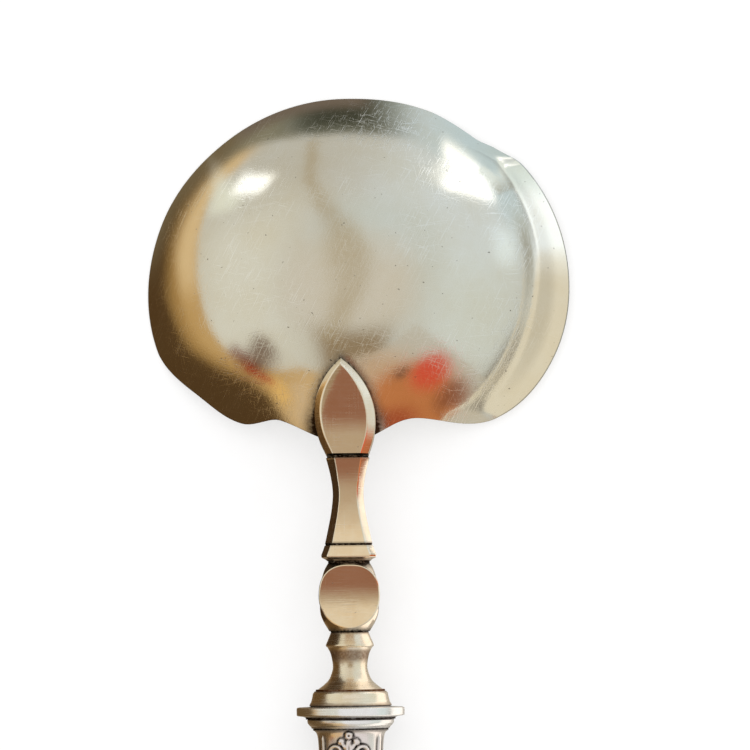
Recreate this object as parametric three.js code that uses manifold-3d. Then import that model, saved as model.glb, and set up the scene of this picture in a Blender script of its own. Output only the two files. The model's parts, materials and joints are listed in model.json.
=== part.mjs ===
// Cream ladle in silver: a raised bowl with a side pouring lip, soldered to a stem of filed and turned
// members that are strung on one tang, in a filled handle made of two stamped shells.
// Millimetres, +Z up. It lies face down: the bowl's back looks up, the stem runs along Y, the bowl is at +Y.

import * as THREE from "three";
import { mergeVertices } from "three/addons/utils/BufferGeometryUtils.js";
import Module from "manifold-3d";

const wasm = await Module();
wasm.setup();

// Driving dimensions

// Joints
const seam = 0.3; // soldered gap between neighbouring pieces
const tangRadius = 1.3;
const tangClearance = 0.3; // all round the tang, in every bore that it passes through
const tangSocket = 4; // how far the tang reaches into the heel drop
const tangInHandle = 42; // how far it reaches into the filling
const tangTipRadius = 0.8;

// Bowl: radii in plan from its centre, heights above the table that the rim lies on
const bowlDepth = 18;
const bowlFullness = 2.8; // power of the back's curve: 2 is a parabola, more is flatter in the middle
const bowlSheet = 1.1;
const rimLand = 1.2; // width of the flat filed edge
const bowlFromHeel = 33; // from the heel's end face to the bowl's centre
const rimFar = 28.8;
const rimShoulder = 29.5;
const rimSide = 32.2;
const rimLobe = 35.1;
const rimLobeFoot = 33.4;
const rimCusp = 32.3;
const scallopLeft = 29.2;
const tongueReach = 30.8;
const scallopRight = 28.8;
const lipFoot = 36;
const lipReach = 38.3;
const lipSide = 37.4;
const lipUpper = 34.2;
const lipRoot = 31.2;
const lipHeight = 1.4;
const creaseRadius = 30.8; // where the lip turns out of the bowl's wall
// Where the bowl's curve would meet the table if its edge were not cut back or turned out
const wallCusp = 35.6;
const wallHeel = 37;
const wallLipFoot = 36;
const wallLip = 34.4;
const wallLipUpper = 32.8;
const rimNearLip = 29.9;

// Heel drop: the pointed leaf that is soldered on the bowl's back
const dropLength = 16.2;
const dropHalfWidth = 5.45;
const dropWidest = 6; // from the heel's end face
const dropHeelHalfWidth = 3.75;
const dropHeelHalfDepth = 3.6;
const dropBevel = 1.2;
const dropTipRise = 1.3; // of the tip above the bowl's back
const dropLean = 4; // degrees, to the left as it was filed

// Stem members, in order from the heel to the handle
const neckLength = 14.4;
const neckTop = 3.5; // half widths of the four-sided neck
const neckWaist = 2.8;
const neckFoot = 4.1;
const neckChamfer = 1.15;
const collarLength = 2.5;
const collarHalfWidth = 4.55;
const collarEnd = 3.6;
const collarChamfer = 1;
const knopLength = 11.3;
const knopRadius = 5.05;
const knopFacet = 4.85; // radius of its flat front and back
const knopHalfDepth = 4.2;
const knopStretch = 1.05; // how much longer it is than wide
const knopEnd = 3.4;
const balusterLength = 9.5;
const balusterTop = 3.2;
const balusterBead = 4.05;
const balusterWaist = 2.8;
const balusterFoot = 5.3;
const capLength = 2.2;
const capTop = 6.1;
const capFoot = 6.9;
const flangeLength = 1.75;
const flangeRadius = 8.9;
const flangeFoot = 7.6;
const ringLength = 1.85;
const ringRadius = 7.2;
const ringFoot = 6.5;

// Handle: half widths across X and half depths towards the table
const handleLength = 78;
const handleShell = 0.8;
const mouthRadius = 6.3;
const throatRadius = 5.4; // just below the mouth
const throatFromMouth = 2.2;
const waistHalfWidth = 5.5;
const waistHalfDepth = 4.7;
const waistFromMouth = 14;
const buttHalfWidth = 8.7;
const buttHalfDepth = 6.2;
const buttFromEnd = 13; // from the widest place to the rounded end

// Facets of the round work
const turnedSides = 32;
const bowlSides = 90;

const boreRadius = tangRadius + tangClearance;
const rad = THREE.MathUtils.degToRad;

// Finishes
const silver = new THREE.MeshStandardMaterial({ color: 0xcfc8b8, roughness: 0.24, metalness: 1 });
const tangSteel = new THREE.MeshStandardMaterial({ color: 0x6d6862, roughness: 0.55, metalness: 1 });
const cement = new THREE.MeshStandardMaterial({ color: 0x5a4230, roughness: 0.9, metalness: 0 });

// Solids and meshes

// A closed geometry as a solid that can be joined and cut.
function solidOf(geometry) {
  const bare = geometry.clone();
  bare.deleteAttribute("normal");
  bare.deleteAttribute("uv");
  const merged = mergeVertices(bare, 1e-4);
  return new wasm.Manifold(
    new wasm.Mesh({
      numProp: 3,
      vertProperties: merged.attributes.position.array,
      triVerts: new Uint32Array(merged.index.array),
    }),
  );
}

function geometryOf(solid) {
  const mesh = solid.getMesh();
  const geometry = new THREE.BufferGeometry();
  geometry.setAttribute("position", new THREE.BufferAttribute(mesh.vertProperties, 3));
  geometry.setIndex(new THREE.BufferAttribute(mesh.triVerts, 1));
  geometry.computeVertexNormals();
  return geometry;
}

function piece(name, geometry, material) {
  const mesh = new THREE.Mesh(geometry, material);
  mesh.name = name;
  return mesh;
}

// A closed skin over rings of equally many points, with a point to close each end.
// The rings run anticlockwise as seen from the first end.
function skin(rings, firstPoint, lastPoint) {
  const count = rings[0].length;
  const points = [...rings.flat(), firstPoint, lastPoint];
  const first = points.length - 2;
  const last = points.length - 1;
  const faces = [];
  for (let i = 0; i < count; i++) {
    const j = (i + 1) % count;
    faces.push(first, i, j);
    for (let ring = 0; ring < rings.length - 1; ring++) {
      const here = ring * count;
      const next = here + count;
      faces.push(here + i, next + i, next + j, here + i, next + j, here + j);
    }
    const end = (rings.length - 1) * count;
    faces.push(last, end + j, end + i);
  }
  const geometry = new THREE.BufferGeometry().setFromPoints(points);
  geometry.setIndex(faces);
  return geometry;
}

// A turned ring or rod along the stem: the profile is [radius, distance along the stem] from top to foot.
function turned(profile, bore) {
  const outline = profile.map(([radius, along]) => new THREE.Vector2(radius, -along));
  const top = outline[0].y;
  const foot = outline[outline.length - 1].y;
  outline.push(new THREE.Vector2(bore, foot), new THREE.Vector2(bore, top), outline[0].clone());
  return new THREE.LatheGeometry(outline.reverse(), turnedSides);
}

// The bore that the tang passes through, as a solid to cut with.
function tangBore(from, to) {
  const bore = new THREE.CylinderGeometry(boreRadius, boreRadius, to - from, turnedSides);
  bore.translate(0, -(from + to) / 2, 0);
  return solidOf(bore);
}

// A four-sided bar with chamfered corners: the profile is [half width, distance along the stem].
function squareBar(profile, chamfer) {
  const rings = profile.map(([half, along]) => {
    const flat = half - chamfer;
    const corners = [
      [half, flat], [flat, half], [-flat, half], [-half, flat],
      [-half, -flat], [-flat, -half], [flat, -half], [half, -flat],
    ];
    return corners.map(([x, z]) => new THREE.Vector3(x, -along, -z));
  });
  const middle = ([, along]) => new THREE.Vector3(0, -along, 0);
  return skin(rings, middle(profile[0]), middle(profile[profile.length - 1]));
}

// Bowl

// Anticlockwise from the far end: [direction in degrees, radius in plan]. The wall is one smooth bowl.
// The edge is cut back from it beside the heel, in two scallops and a tongue, and runs out on the lip.
const wallStations = [
  [90, rimFar], [132, rimShoulder], [168, rimSide], [204, rimLobe], [236, wallCusp], [270, wallHeel],
  [306, wallLipFoot], [340, wallLip], [390, wallLipUpper], [404, lipRoot], [426, rimNearLip],
];
const edgeStations = [
  [90, rimFar], [132, rimShoulder], [168, rimSide], [204, rimLobe], [222, rimLobeFoot], [237, rimCusp],
  [247, scallopLeft], [270, tongueReach], [292, scallopRight], [314, lipFoot], [336, lipReach],
  [360, lipSide], [390, lipUpper], [404, lipRoot], [426, rimNearLip],
];
const lipUpperEnd = { root: 46, full: 26 }; // degrees where the lip rises out of the wall
const lipLowerEnd = { root: -60, full: -42 };

// A smooth closed curve through the stations, as a function of direction.
function throughStations(stations) {
  const count = stations.length;
  const station = (i) => {
    const turns = Math.floor(i / count);
    const [at, value] = stations[i - turns * count];
    return { at: at + 360 * turns, value };
  };
  const slope = (i) => {
    const before = station(i - 1);
    const after = station(i + 1);
    return (after.value - before.value) / (after.at - before.at);
  };
  return (degrees) => {
    const start = stations[0][0];
    const at = start + THREE.MathUtils.euclideanModulo(degrees - start, 360);
    let i = 0;
    while (station(i + 1).at <= at) i++;
    const [a, b] = [station(i), station(i + 1)];
    const span = b.at - a.at;
    const t = (at - a.at) / span;
    return (
      THREE.MathUtils.lerp(a.value, b.value, t * t * (3 - 2 * t)) +
      span * t * (1 - t) * (slope(i) * (1 - t) - slope(i + 1) * t)
    );
  };
}
const wallRadius = throughStations(wallStations);
const edgeRadius = throughStations(edgeStations);

// 0 where the wall runs plainly to the rim, 1 where the lip is fully turned out.
function lipShare(degrees) {
  const turn = THREE.MathUtils.euclideanModulo(degrees + 180, 360) - 180;
  const { smoothstep } = THREE.MathUtils;
  return (
    (1 - smoothstep(turn, lipUpperEnd.full, lipUpperEnd.root)) *
    smoothstep(turn, lipLowerEnd.root, lipLowerEnd.full)
  );
}

// The rim's radius: on the wall where it is plain, out on the lip's edge where there is one.
function rimRadius(degrees) {
  const edge = edgeRadius(degrees);
  return THREE.MathUtils.lerp(Math.min(edge, wallRadius(degrees)), edge, lipShare(degrees));
}

// Where the crease lies, as a share of the way from the bowl's centre to its rim.
const creaseShare = (degrees) => Math.min(creaseRadius / rimRadius(degrees), 0.9);

// A point on the bowl's back, share being 0 at the centre and 1 at the rim.
function bowlBack(degrees, share) {
  const rim = rimRadius(degrees);
  const wallHeight = (reach) => bowlDepth * (1 - (reach / wallRadius(degrees)) ** bowlFullness);
  const crease = creaseShare(degrees);
  const plain = wallHeight(share * rim);
  const turnedOut = THREE.MathUtils.mapLinear(share, crease, 1, wallHeight(crease * rim), lipHeight);
  const lip = share < crease ? 0 : lipShare(degrees);
  return new THREE.Vector3(
    share * rim * Math.cos(rad(degrees)),
    bowlFromHeel + share * rim * Math.sin(rad(degrees)),
    THREE.MathUtils.lerp(plain, turnedOut, lip),
  );
}

function bowlNormal(degrees, share) {
  const step = 0.01;
  const inner = Math.min(share, 1 - step);
  const outward = bowlBack(degrees, inner + step).sub(bowlBack(degrees, inner - step));
  const around = bowlBack(degrees + 1, inner).sub(bowlBack(degrees - 1, inner));
  return outward.cross(around).normalize();
}

const domeRows = [0.14, 0.28, 0.42, 0.55, 0.67, 0.78, 0.88, 0.95, 1];
const lipRows = [0.3, 0.65, 1];

// Rings of points over the bowl's back, raised along its normal, from the middle to the rim.
function bowlRings(raise) {
  const directions = Array.from({ length: bowlSides }, (_, i) => (360 * i) / bowlSides);
  const point = (degrees, share) =>
    bowlBack(degrees, share).addScaledVector(bowlNormal(degrees, share), raise);
  const dome = domeRows.map((row) => directions.map((d) => point(d, row * creaseShare(d))));
  const lip = lipRows.map((row) =>
    directions.map((d) => point(d, THREE.MathUtils.lerp(creaseShare(d), 1, row))),
  );
  return [...dome, ...lip];
}

function bowlGeometry() {
  const back = bowlRings(0);
  const inside = bowlRings(-bowlSheet);
  // The filed edge is level on the plain rim and square to the sheet on the lip.
  const edge = back[back.length - 1];
  inside[inside.length - 1].forEach((point, i) => {
    const degrees = (360 * i) / bowlSides;
    const inset = new THREE.Vector3(-Math.cos(rad(degrees)), -Math.sin(rad(degrees)), 0);
    const level = edge[i].clone().addScaledVector(inset, rimLand);
    point.lerpVectors(level, point, lipShare(degrees));
  });
  const crown = new THREE.Vector3(0, bowlFromHeel, bowlDepth);
  const floor = crown.clone().setZ(bowlDepth - bowlSheet);
  return skin([...back, ...inside.reverse()], crown, floor);
}

// All the space below the bowl's back, with the soldered gap, to seat the heel drop on.
function bowlSeat() {
  const rings = bowlRings(seam);
  const below = -bowlDepth;
  const skirt = rings[rings.length - 1].map((point) => point.clone().setZ(below));
  const crown = new THREE.Vector3(0, bowlFromHeel, bowlDepth + seam);
  return solidOf(skin([...rings, skirt], crown, new THREE.Vector3(0, bowlFromHeel, below)));
}

// The stem's line: it leaves the heel above the tongue and falls until the butt lies on the table.

const heelHeight = bowlBack(270, 1).z + seam + dropHeelHalfDepth;
const handleFromHeel =
  neckLength + collarLength + knopLength + balusterLength + capLength + flangeLength + ringLength +
  8 * seam;
const buttFromHeel = handleFromHeel + handleLength - buttFromEnd;
const rise =
  Math.asin(heelHeight / Math.hypot(buttFromHeel, buttHalfDepth)) -
  Math.atan2(buttHalfDepth, buttFromHeel);

const stem = new THREE.Group();
stem.position.set(0, 0, heelHeight);
stem.rotation.x = rise;
stem.updateMatrix();

// Heel drop

function dropGeometry() {
  const depth = 2 * dropHeelHalfDepth;
  const long = dropLength - dropWidest;
  const heelToWidest = new THREE.CubicBezierCurve(
    new THREE.Vector2(dropHeelHalfWidth, 0),
    new THREE.Vector2((dropHeelHalfWidth + dropHalfWidth) / 2, dropWidest * 0.3),
    new THREE.Vector2(dropHalfWidth, dropWidest * 0.55),
    new THREE.Vector2(dropHalfWidth, dropWidest),
  );
  const widestToTip = new THREE.CubicBezierCurve(
    new THREE.Vector2(dropHalfWidth, dropWidest),
    new THREE.Vector2(dropHalfWidth, dropWidest + long * 0.43),
    new THREE.Vector2(dropHalfWidth * 0.48, dropWidest + long * 0.82),
    new THREE.Vector2(0, dropLength),
  );
  const over = new THREE.Vector2(dropHeelHalfWidth, -2); // runs on past the heel, where it is cut square
  const outline = [over, ...heelToWidest.getPoints(6), ...widestToTip.getPoints(12).slice(1, -1)];
  // Each section has a flat face in the plane z = 0, two bevels at 45 degrees and upright sides.
  // Near the tip the face has run out and the bevels meet in a ridge.
  const rings = outline.map(({ x: half, y }) => {
    const flat = Math.max(half - dropBevel, 0.02);
    const side = [[half, -depth], [half, -dropBevel], [flat, Math.min(half - dropBevel, 0)]];
    const mirrored = side.map(([x, z]) => [-x, z]).reverse();
    return [...side, ...mirrored].map(([x, z]) => new THREE.Vector3(x, y, z));
  });
  const underHeel = new THREE.Vector3(0, over.y, -dropHeelHalfDepth);
  const body = skin(rings, underHeel, new THREE.Vector3(0, dropLength, -dropBevel));

  const tipShare = (bowlFromHeel - dropLength) / rimRadius(270);
  const tipHeight = bowlBack(270, tipShare).z + seam + dropTipRise;
  const faceAtHeel = heelHeight + dropHeelHalfDepth;
  const tilt = Math.atan2(tipHeight - faceAtHeel, dropLength);
  body.rotateZ(rad(dropLean));
  body.rotateX(tilt);
  body.translate(0, 0, faceAtHeel);

  const room = 4 * dropHalfWidth;
  const beyond = new THREE.BoxGeometry(room, room, room);
  beyond.translate(0, -room / 2, 0);
  beyond.rotateX(rise);
  beyond.translate(0, 0, heelHeight);
  const bore = tangBore(-tangSocket - tangClearance, room);
  const boreInPlace = solidOf(geometryOf(bore).applyMatrix4(stem.matrix));
  return geometryOf(
    solidOf(body).subtract(solidOf(beyond)).subtract(bowlSeat()).subtract(boreInPlace),
  );
}

// Stem members

function neckGeometry(from) {
  const run = new THREE.SplineCurve([
    new THREE.Vector2(neckTop, 0),
    new THREE.Vector2(neckWaist + 0.06, neckLength * 0.3),
    new THREE.Vector2(neckWaist, neckLength * 0.55),
    new THREE.Vector2(neckFoot, neckLength),
  ]);
  const profile = run.getPoints(12).map((p) => [p.x, from + p.y]);
  return geometryOf(solidOf(squareBar(profile, neckChamfer)).subtract(tangBore(from - 1, from + neckLength + 1)));
}

function collarGeometry(from) {
  const profile = [
    [collarHalfWidth - 0.55, 0],
    [collarHalfWidth - 0.4, collarLength * 0.2],
    [collarHalfWidth, collarLength * 0.62],
    [collarHalfWidth, collarLength * 0.76],
    [collarEnd + 0.25, collarLength * 0.9],
    [collarEnd, collarLength],
  ].map(([half, along]) => [half, from + along]);
  return geometryOf(solidOf(squareBar(profile, collarChamfer)).subtract(tangBore(from - 1, from + collarLength + 1)));
}

// A thick round medallion that faces front and back, on a barrel that joins it to its neighbours.
function knopGeometry(from) {
  const half = knopLength / 2;
  const medallion = new THREE.LatheGeometry(
    [
      new THREE.Vector2(0, -knopHalfDepth),
      new THREE.Vector2(knopFacet, -knopHalfDepth),
      new THREE.Vector2(knopRadius, -knopHalfDepth / 3),
      new THREE.Vector2(knopRadius, knopHalfDepth / 3),
      new THREE.Vector2(knopFacet, knopHalfDepth),
      new THREE.Vector2(0, knopHalfDepth),
    ],
    1.5 * turnedSides,
  );
  medallion.rotateX(Math.PI / 2);
  medallion.scale(1, knopStretch, 1);
  medallion.translate(0, -(from + half), 0);
  const barrel = turned(
    [
      [knopEnd, 0],
      [knopEnd + (knopFacet - knopEnd) * 0.45, knopLength * 0.1],
      [knopEnd + (knopFacet - knopEnd) * 0.8, knopLength * 0.25],
      [knopFacet, knopLength * 0.5],
      [knopFacet, knopLength * 0.72],
      [knopEnd + (knopFacet - knopEnd) * 0.65, knopLength * 0.86],
      [knopEnd, knopLength],
    ].map(([radius, along]) => [radius, from + along]),
    boreRadius,
  );
  const bore = tangBore(from - 1, from + knopLength + 1);
  const slab = new THREE.BoxGeometry(4 * knopRadius, 2 * knopLength, 2 * knopHalfDepth);
  slab.translate(0, -(from + half), 0);
  return geometryOf(solidOf(barrel).intersect(solidOf(slab)).add(solidOf(medallion)).subtract(bore));
}

function balusterGeometry(from) {
  const flare = new THREE.SplineCurve([
    new THREE.Vector2(balusterBead, balusterLength * 0.24),
    new THREE.Vector2(balusterWaist + 0.35, balusterLength * 0.4),
    new THREE.Vector2(balusterWaist, balusterLength * 0.58),
    new THREE.Vector2((balusterWaist + balusterFoot) * 0.425, balusterLength * 0.82),
    new THREE.Vector2(balusterFoot, balusterLength),
  ]);
  const profile = [[balusterTop, 0], ...flare.getPoints(11).map((p) => [p.x, p.y])];
  return turned(profile.map(([radius, along]) => [radius, from + along]), boreRadius);
}

function capGeometry(from) {
  const profile = [
    [capTop, 0],
    [(capTop + capFoot) / 2, capLength * 0.35],
    [capFoot, capLength],
  ];
  return turned(profile.map(([radius, along]) => [radius, from + along]), boreRadius);
}

function flangeGeometry(from) {
  const rounded = 0.35;
  const profile = [
    [flangeRadius - rounded, 0],
    [flangeRadius, rounded],
    [flangeRadius, flangeLength * 0.6],
    [flangeRadius - rounded, flangeLength * 0.85],
    [flangeFoot, flangeLength],
  ];
  return turned(profile.map(([radius, along]) => [radius, from + along]), boreRadius);
}

function ringGeometry(from) {
  const profile = [
    [ringRadius - 0.25, 0],
    [ringRadius, ringLength * 0.3],
    [(ringRadius + ringFoot) / 2 + 0.1, ringLength * 0.75],
    [ringFoot, ringLength],
  ];
  return turned(profile.map(([radius, along]) => [radius, from + along]), boreRadius);
}

// Handle

// Half width and half depth of the handle at a distance from its mouth.
const handleOutline = (stations) => {
  const curve = new THREE.SplineCurve(stations.map(([half, along]) => new THREE.Vector2(along, half)));
  return (steps) => curve.getPoints(steps);
};
const acrossHandle = handleOutline([
  [mouthRadius, 0],
  [throatRadius, throatFromMouth],
  [waistHalfWidth, waistFromMouth],
  [(waistHalfWidth + buttHalfWidth) / 2, (waistFromMouth + handleLength - buttFromEnd) / 2],
  [buttHalfWidth, handleLength - buttFromEnd],
]);
const throughHandle = handleOutline([
  [mouthRadius, 0],
  [throatRadius, throatFromMouth],
  [waistHalfDepth, waistFromMouth],
  [(waistHalfDepth + buttHalfDepth) / 2, (waistFromMouth + handleLength - buttFromEnd) / 2],
  [buttHalfDepth, handleLength - buttFromEnd],
]);

// The handle's outside moved in by an inset, from its mouth to its rounded end.
function handleBody(from, inset, mouth) {
  const sides = 28;
  const squareness = 2.4; // power of the section's curve: 2 is an ellipse
  const ring = (along, halfWidth, halfDepth) =>
    Array.from({ length: sides }, (_, i) => {
      const turn = (2 * Math.PI * i) / sides;
      const bulge = (v) => Math.sign(v) * Math.abs(v) ** (2 / squareness);
      return new THREE.Vector3(
        halfWidth * bulge(Math.cos(turn)), -(from + along), -halfDepth * bulge(Math.sin(turn)),
      );
    });
  const width = acrossHandle(20);
  const depth = throughHandle(20);
  const rings = width.map((p, i) =>
    ring(i ? p.x : mouth, p.y - inset, depth[i].y - inset),
  );
  const endSteps = 6;
  const bend = buttFromEnd - inset;
  for (let i = 1; i < endSteps; i++) {
    const turn = ((Math.PI / 2) * i) / endSteps;
    rings.push(
      ring(
        handleLength - buttFromEnd + bend * Math.sin(turn),
        (buttHalfWidth - inset) * Math.cos(turn) ** 0.8,
        (buttHalfDepth - inset) * Math.cos(turn) ** 0.8,
      ),
    );
  }
  const first = new THREE.Vector3(0, -(from + mouth), 0);
  const last = new THREE.Vector3(0, -(from + handleLength - inset), 0);
  return solidOf(skin(rings, first, last));
}

// One stamped half of the handle: side is 1 for the half that looks up and -1 for the one that lies down.
function shellGeometry(from, side) {
  const open = -1; // the hollow runs out through the mouth
  const wall = handleBody(from, 0, 0).subtract(handleBody(from, handleShell, open));
  const room = 2 * handleLength;
  const half = new THREE.BoxGeometry(room, room, room);
  half.translate(0, -(from + handleLength / 2), (side * (room + seam)) / 2);
  return geometryOf(wall.intersect(solidOf(half)));
}

const tangProfile = (from, grow) => [
  [tangRadius + grow, from],
  [tangRadius + grow, handleFromHeel],
  [tangTipRadius + grow, handleFromHeel + tangInHandle + grow],
];

function rod(profile) {
  const outline = profile.map(([radius, along]) => new THREE.Vector2(radius, -along));
  outline.unshift(new THREE.Vector2(0, outline[0].y));
  outline.push(new THREE.Vector2(0, outline[outline.length - 1].y));
  return new THREE.LatheGeometry(outline.reverse(), turnedSides);
}

function fillingGeometry(from) {
  const room = solidOf(rod(tangProfile(-tangSocket, tangClearance)));
  return geometryOf(handleBody(from, handleShell + seam, 0).subtract(room));
}

// Assembly

const ladle = new THREE.Group();
ladle.add(piece("bowl", bowlGeometry(), silver));
ladle.add(piece("heel_drop", dropGeometry(), silver));
ladle.add(stem);

const members = [
  { name: "neck", length: neckLength, make: neckGeometry },
  { name: "neck_collar", length: collarLength, make: collarGeometry },
  { name: "knop", length: knopLength, make: knopGeometry },
  { name: "baluster", length: balusterLength, make: balusterGeometry },
  { name: "stepped_cap", length: capLength, make: capGeometry },
  { name: "mouth_flange", length: flangeLength, make: flangeGeometry },
  { name: "handle_ring", length: ringLength, make: ringGeometry },
];
let along = seam;
for (const member of members) {
  stem.add(piece(member.name, member.make(along), silver));
  along += member.length + seam;
}
stem.add(piece("handle_front_shell", shellGeometry(along, 1), silver));
stem.add(piece("handle_back_shell", shellGeometry(along, -1), silver));
stem.add(piece("cement_filling", fillingGeometry(along), cement));
stem.add(piece("tang", rod(tangProfile(-tangSocket, 0)), tangSteel));

// The origin is below the middle of the whole ladle, on the table.
ladle.updateMatrixWorld(true);
const box = new THREE.Box3().setFromObject(ladle, true);
const middle = box.getCenter(new THREE.Vector3());
ladle.position.set(-middle.x, -middle.y, -box.min.z);

const part = new THREE.Group();
part.name = "cream_ladle";
part.add(ladle);

export default part;
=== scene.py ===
import bmesh
import bpy
import json
import math
import numpy as np
from mathutils import Euler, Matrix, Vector


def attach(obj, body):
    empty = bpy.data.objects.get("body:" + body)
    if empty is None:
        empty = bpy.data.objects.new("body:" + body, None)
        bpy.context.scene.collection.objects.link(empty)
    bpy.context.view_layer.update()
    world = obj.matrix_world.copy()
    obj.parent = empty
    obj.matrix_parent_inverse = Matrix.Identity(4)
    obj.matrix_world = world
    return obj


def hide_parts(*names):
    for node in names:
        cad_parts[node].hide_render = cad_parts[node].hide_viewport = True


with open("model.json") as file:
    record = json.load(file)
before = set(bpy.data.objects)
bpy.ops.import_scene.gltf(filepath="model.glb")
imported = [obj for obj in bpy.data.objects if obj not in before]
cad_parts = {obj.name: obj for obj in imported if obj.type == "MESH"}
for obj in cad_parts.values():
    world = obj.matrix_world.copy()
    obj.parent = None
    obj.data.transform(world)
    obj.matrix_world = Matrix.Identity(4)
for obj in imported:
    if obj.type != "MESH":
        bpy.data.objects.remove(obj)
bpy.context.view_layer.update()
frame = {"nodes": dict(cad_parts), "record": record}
mm = 0.001
print("frame loaded,", len(frame["nodes"]), "solids")

# Camera: looks down on the bowl's back from just past the handle
cameraView = {
    "place": (-1.8, -32.9, 803.3),  # mm
    "turn": (5.575, -0.26, -0.678),  # degrees
    "lens": 229.3,
    "sensor": 36.0,
    "clipStart": 0.01,  # m
}
cameraData = bpy.data.cameras.new("camera")
cameraData.lens = cameraView["lens"]
cameraData.sensor_width = cameraView["sensor"]
cameraData.clip_start = cameraView["clipStart"]
camera = bpy.data.objects.new("camera", cameraData)
camera.location = Vector(cameraView["place"]) * mm
camera.rotation_euler = Euler([math.radians(turn) for turn in cameraView["turn"]])
bpy.context.scene.collection.objects.link(camera)
bpy.context.scene.camera = camera
bpy.context.scene.view_settings.view_transform = "Standard"
print("camera placed")


# Small helpers
def hexColour(text):  # sRGB hex to linear, opaque
    parts = [int(text[i : i + 2], 16) / 255 for i in (1, 3, 5)]
    linear = [p / 12.92 if p <= 0.04045 else ((p + 0.055) / 1.055) ** 2.4 for p in parts]
    return (*linear, 1.0)


def sheetTone(text, strength=1.0):  # the same for a lit sheet
    return np.array(hexColour(text)[:3]) * strength


def emptyTree(owner):  # node tree of a new material or world
    owner.use_nodes = True
    owner.node_tree.nodes.clear()
    return owner.node_tree


def addNode(tree, kind, inputs=None, **settings):  # an input is a value, a socket, or a node for its first output
    node = tree.nodes.new(kind)
    for name, value in settings.items():
        setattr(node, name, value)
    for name, value in (inputs or {}).items():
        if isinstance(value, bpy.types.Node):
            value = next(socket for socket in value.outputs if socket.enabled)
        if isinstance(value, bpy.types.NodeSocket):
            tree.links.new(value, node.inputs[name])
        else:
            node.inputs[name].default_value = value
    return node


def addObject(name, data):
    made = bpy.data.objects.new(name, data)
    bpy.context.scene.collection.objects.link(made)
    return made


def smoothStep(low, high, value):
    t = np.clip((np.asarray(value, float) - low) / (high - low), 0, 1)
    return t * t * (3 - 2 * t)


def splineThrough(stations, steps):  # even Catmull-Rom through 2-D points
    p = np.array(stations, float)
    last = len(p) - 1
    out = []
    for k in range(steps + 1):
        at = last * k / steps
        i = min(int(at), last - 1)
        t = at - i
        a, b, c, d = p[max(i - 1, 0)], p[i], p[i + 1], p[min(i + 2, last)]
        v0, v1 = (c - a) / 2, (d - b) / 2
        out.append((2 * b - 2 * c + v0 + v1) * t**3 + (3 * c - 3 * b - 2 * v0 - v1) * t**2 + v0 * t + b)
    return np.array(out)


def softened(corners, radius, steps=3, closed=True):  # corners of an outline become short arcs
    roomShare, flatFrom = 0.3, 1.5  # longest arc beside a short side; where the flat beside an arc starts
    p = [np.array(c, float) for c in corners]
    out = []
    for i, here in enumerate(p):
        if not closed and i in (0, len(p) - 1):
            out.append(here)
            continue
        back, on = p[i - 1] - here, p[(i + 1) % len(p)] - here
        room = min(np.linalg.norm(back), np.linalg.norm(on))
        reach = min(radius, roomShare * room)
        back, on = back / np.linalg.norm(back), on / np.linalg.norm(on)
        out.append(here + back * reach * flatFrom)  # keeps the flat beside the arc flat
        for k in range(steps + 1):
            t = k / steps
            out.append(here + back * reach * (1 - t) ** 2 + on * reach * t**2)
        out.append(here + on * reach * flatFrom)
    return out


def gridFaces(rings, around, closed=True, looped=False):  # quads over rings of equally many points
    faces = []
    for r in range(rings if looped else rings - 1):
        for i in range(around if closed else around - 1):
            j, s = (i + 1) % around, (r + 1) % rings
            faces.append((r * around + i, s * around + i, s * around + j, r * around + j))
    return faces


def fannedFaces(rings, around):  # the same, closed by fans round two more points, the first end's and the last's
    faces = gridFaces(rings, around)
    end, middle = (rings - 1) * around, rings * around
    for i in range(around):
        j = (i + 1) % around
        faces += [(middle, i, j), (middle + 1, end + j, end + i)]
    return faces


weldSizes = {"double": 2e-7, "thin": 1e-7}  # m, what counts as one point or as no edge


def makePiece(name, points, faces, material, slot=None, replaced=(), patinaAndShade=None, sharpAngle=38, scuff=None):
    mesh = bpy.data.meshes.new(name)
    mesh.from_pydata(np.asarray(points, float).tolist(), [], faces)
    for layerName, values in (("patinaAndShade", patinaAndShade), ("scuff", scuff)):
        if values is not None:
            layer = mesh.attributes.new(layerName, "FLOAT", "POINT")
            layer.data.foreach_set("value", np.asarray(values, np.float32))
    work = bmesh.new()
    work.from_mesh(mesh)
    bmesh.ops.remove_doubles(work, verts=work.verts, dist=weldSizes["double"])
    bmesh.ops.dissolve_degenerate(work, edges=work.edges, dist=weldSizes["thin"])
    bmesh.ops.recalc_face_normals(work, faces=work.faces)
    work.to_mesh(mesh)
    work.free()
    mesh.shade_smooth()
    mesh.set_sharp_from_angle(angle=math.radians(sharpAngle))
    mesh.materials.append(material)
    piece = addObject(name, mesh)
    if slot:
        seatPiece(piece, replaced)
    return piece


def seatPiece(piece, replaced):
    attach(piece, "root")
    if replaced:
        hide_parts(*replaced)


# Stem frame: x across, along from the heel to the butt, z out of the stem's front face
stemRun = {"seam": 0.3, "neck": 14.4, "collar": 2.5, "knop": 11.3, "baluster": 9.5, "cap": 2.2,
           "flange": 1.6, "ring": 1.55, "knopHalfDepth": 4.2}
knopFace = next(m for m in frame["record"]["mounts"] if m["name"] == "knop_front")
stemUp = Vector(knopFace["axis"]).normalized()
stemDown = Vector((1, 0, 0)).cross(stemUp)
stemStart = {}
runLength = stemRun["seam"]
for member in ("neck", "collar", "knop", "baluster", "cap", "flange", "ring"):
    stemStart[member] = runLength
    runLength += stemRun[member] + stemRun["seam"]
stemStart["handle"] = runLength
knopMiddle = stemStart["knop"] + stemRun["knop"] / 2
heel = Vector(knopFace["pos_m"]) - stemUp * stemRun["knopHalfDepth"] * mm - stemDown * knopMiddle * mm


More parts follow.
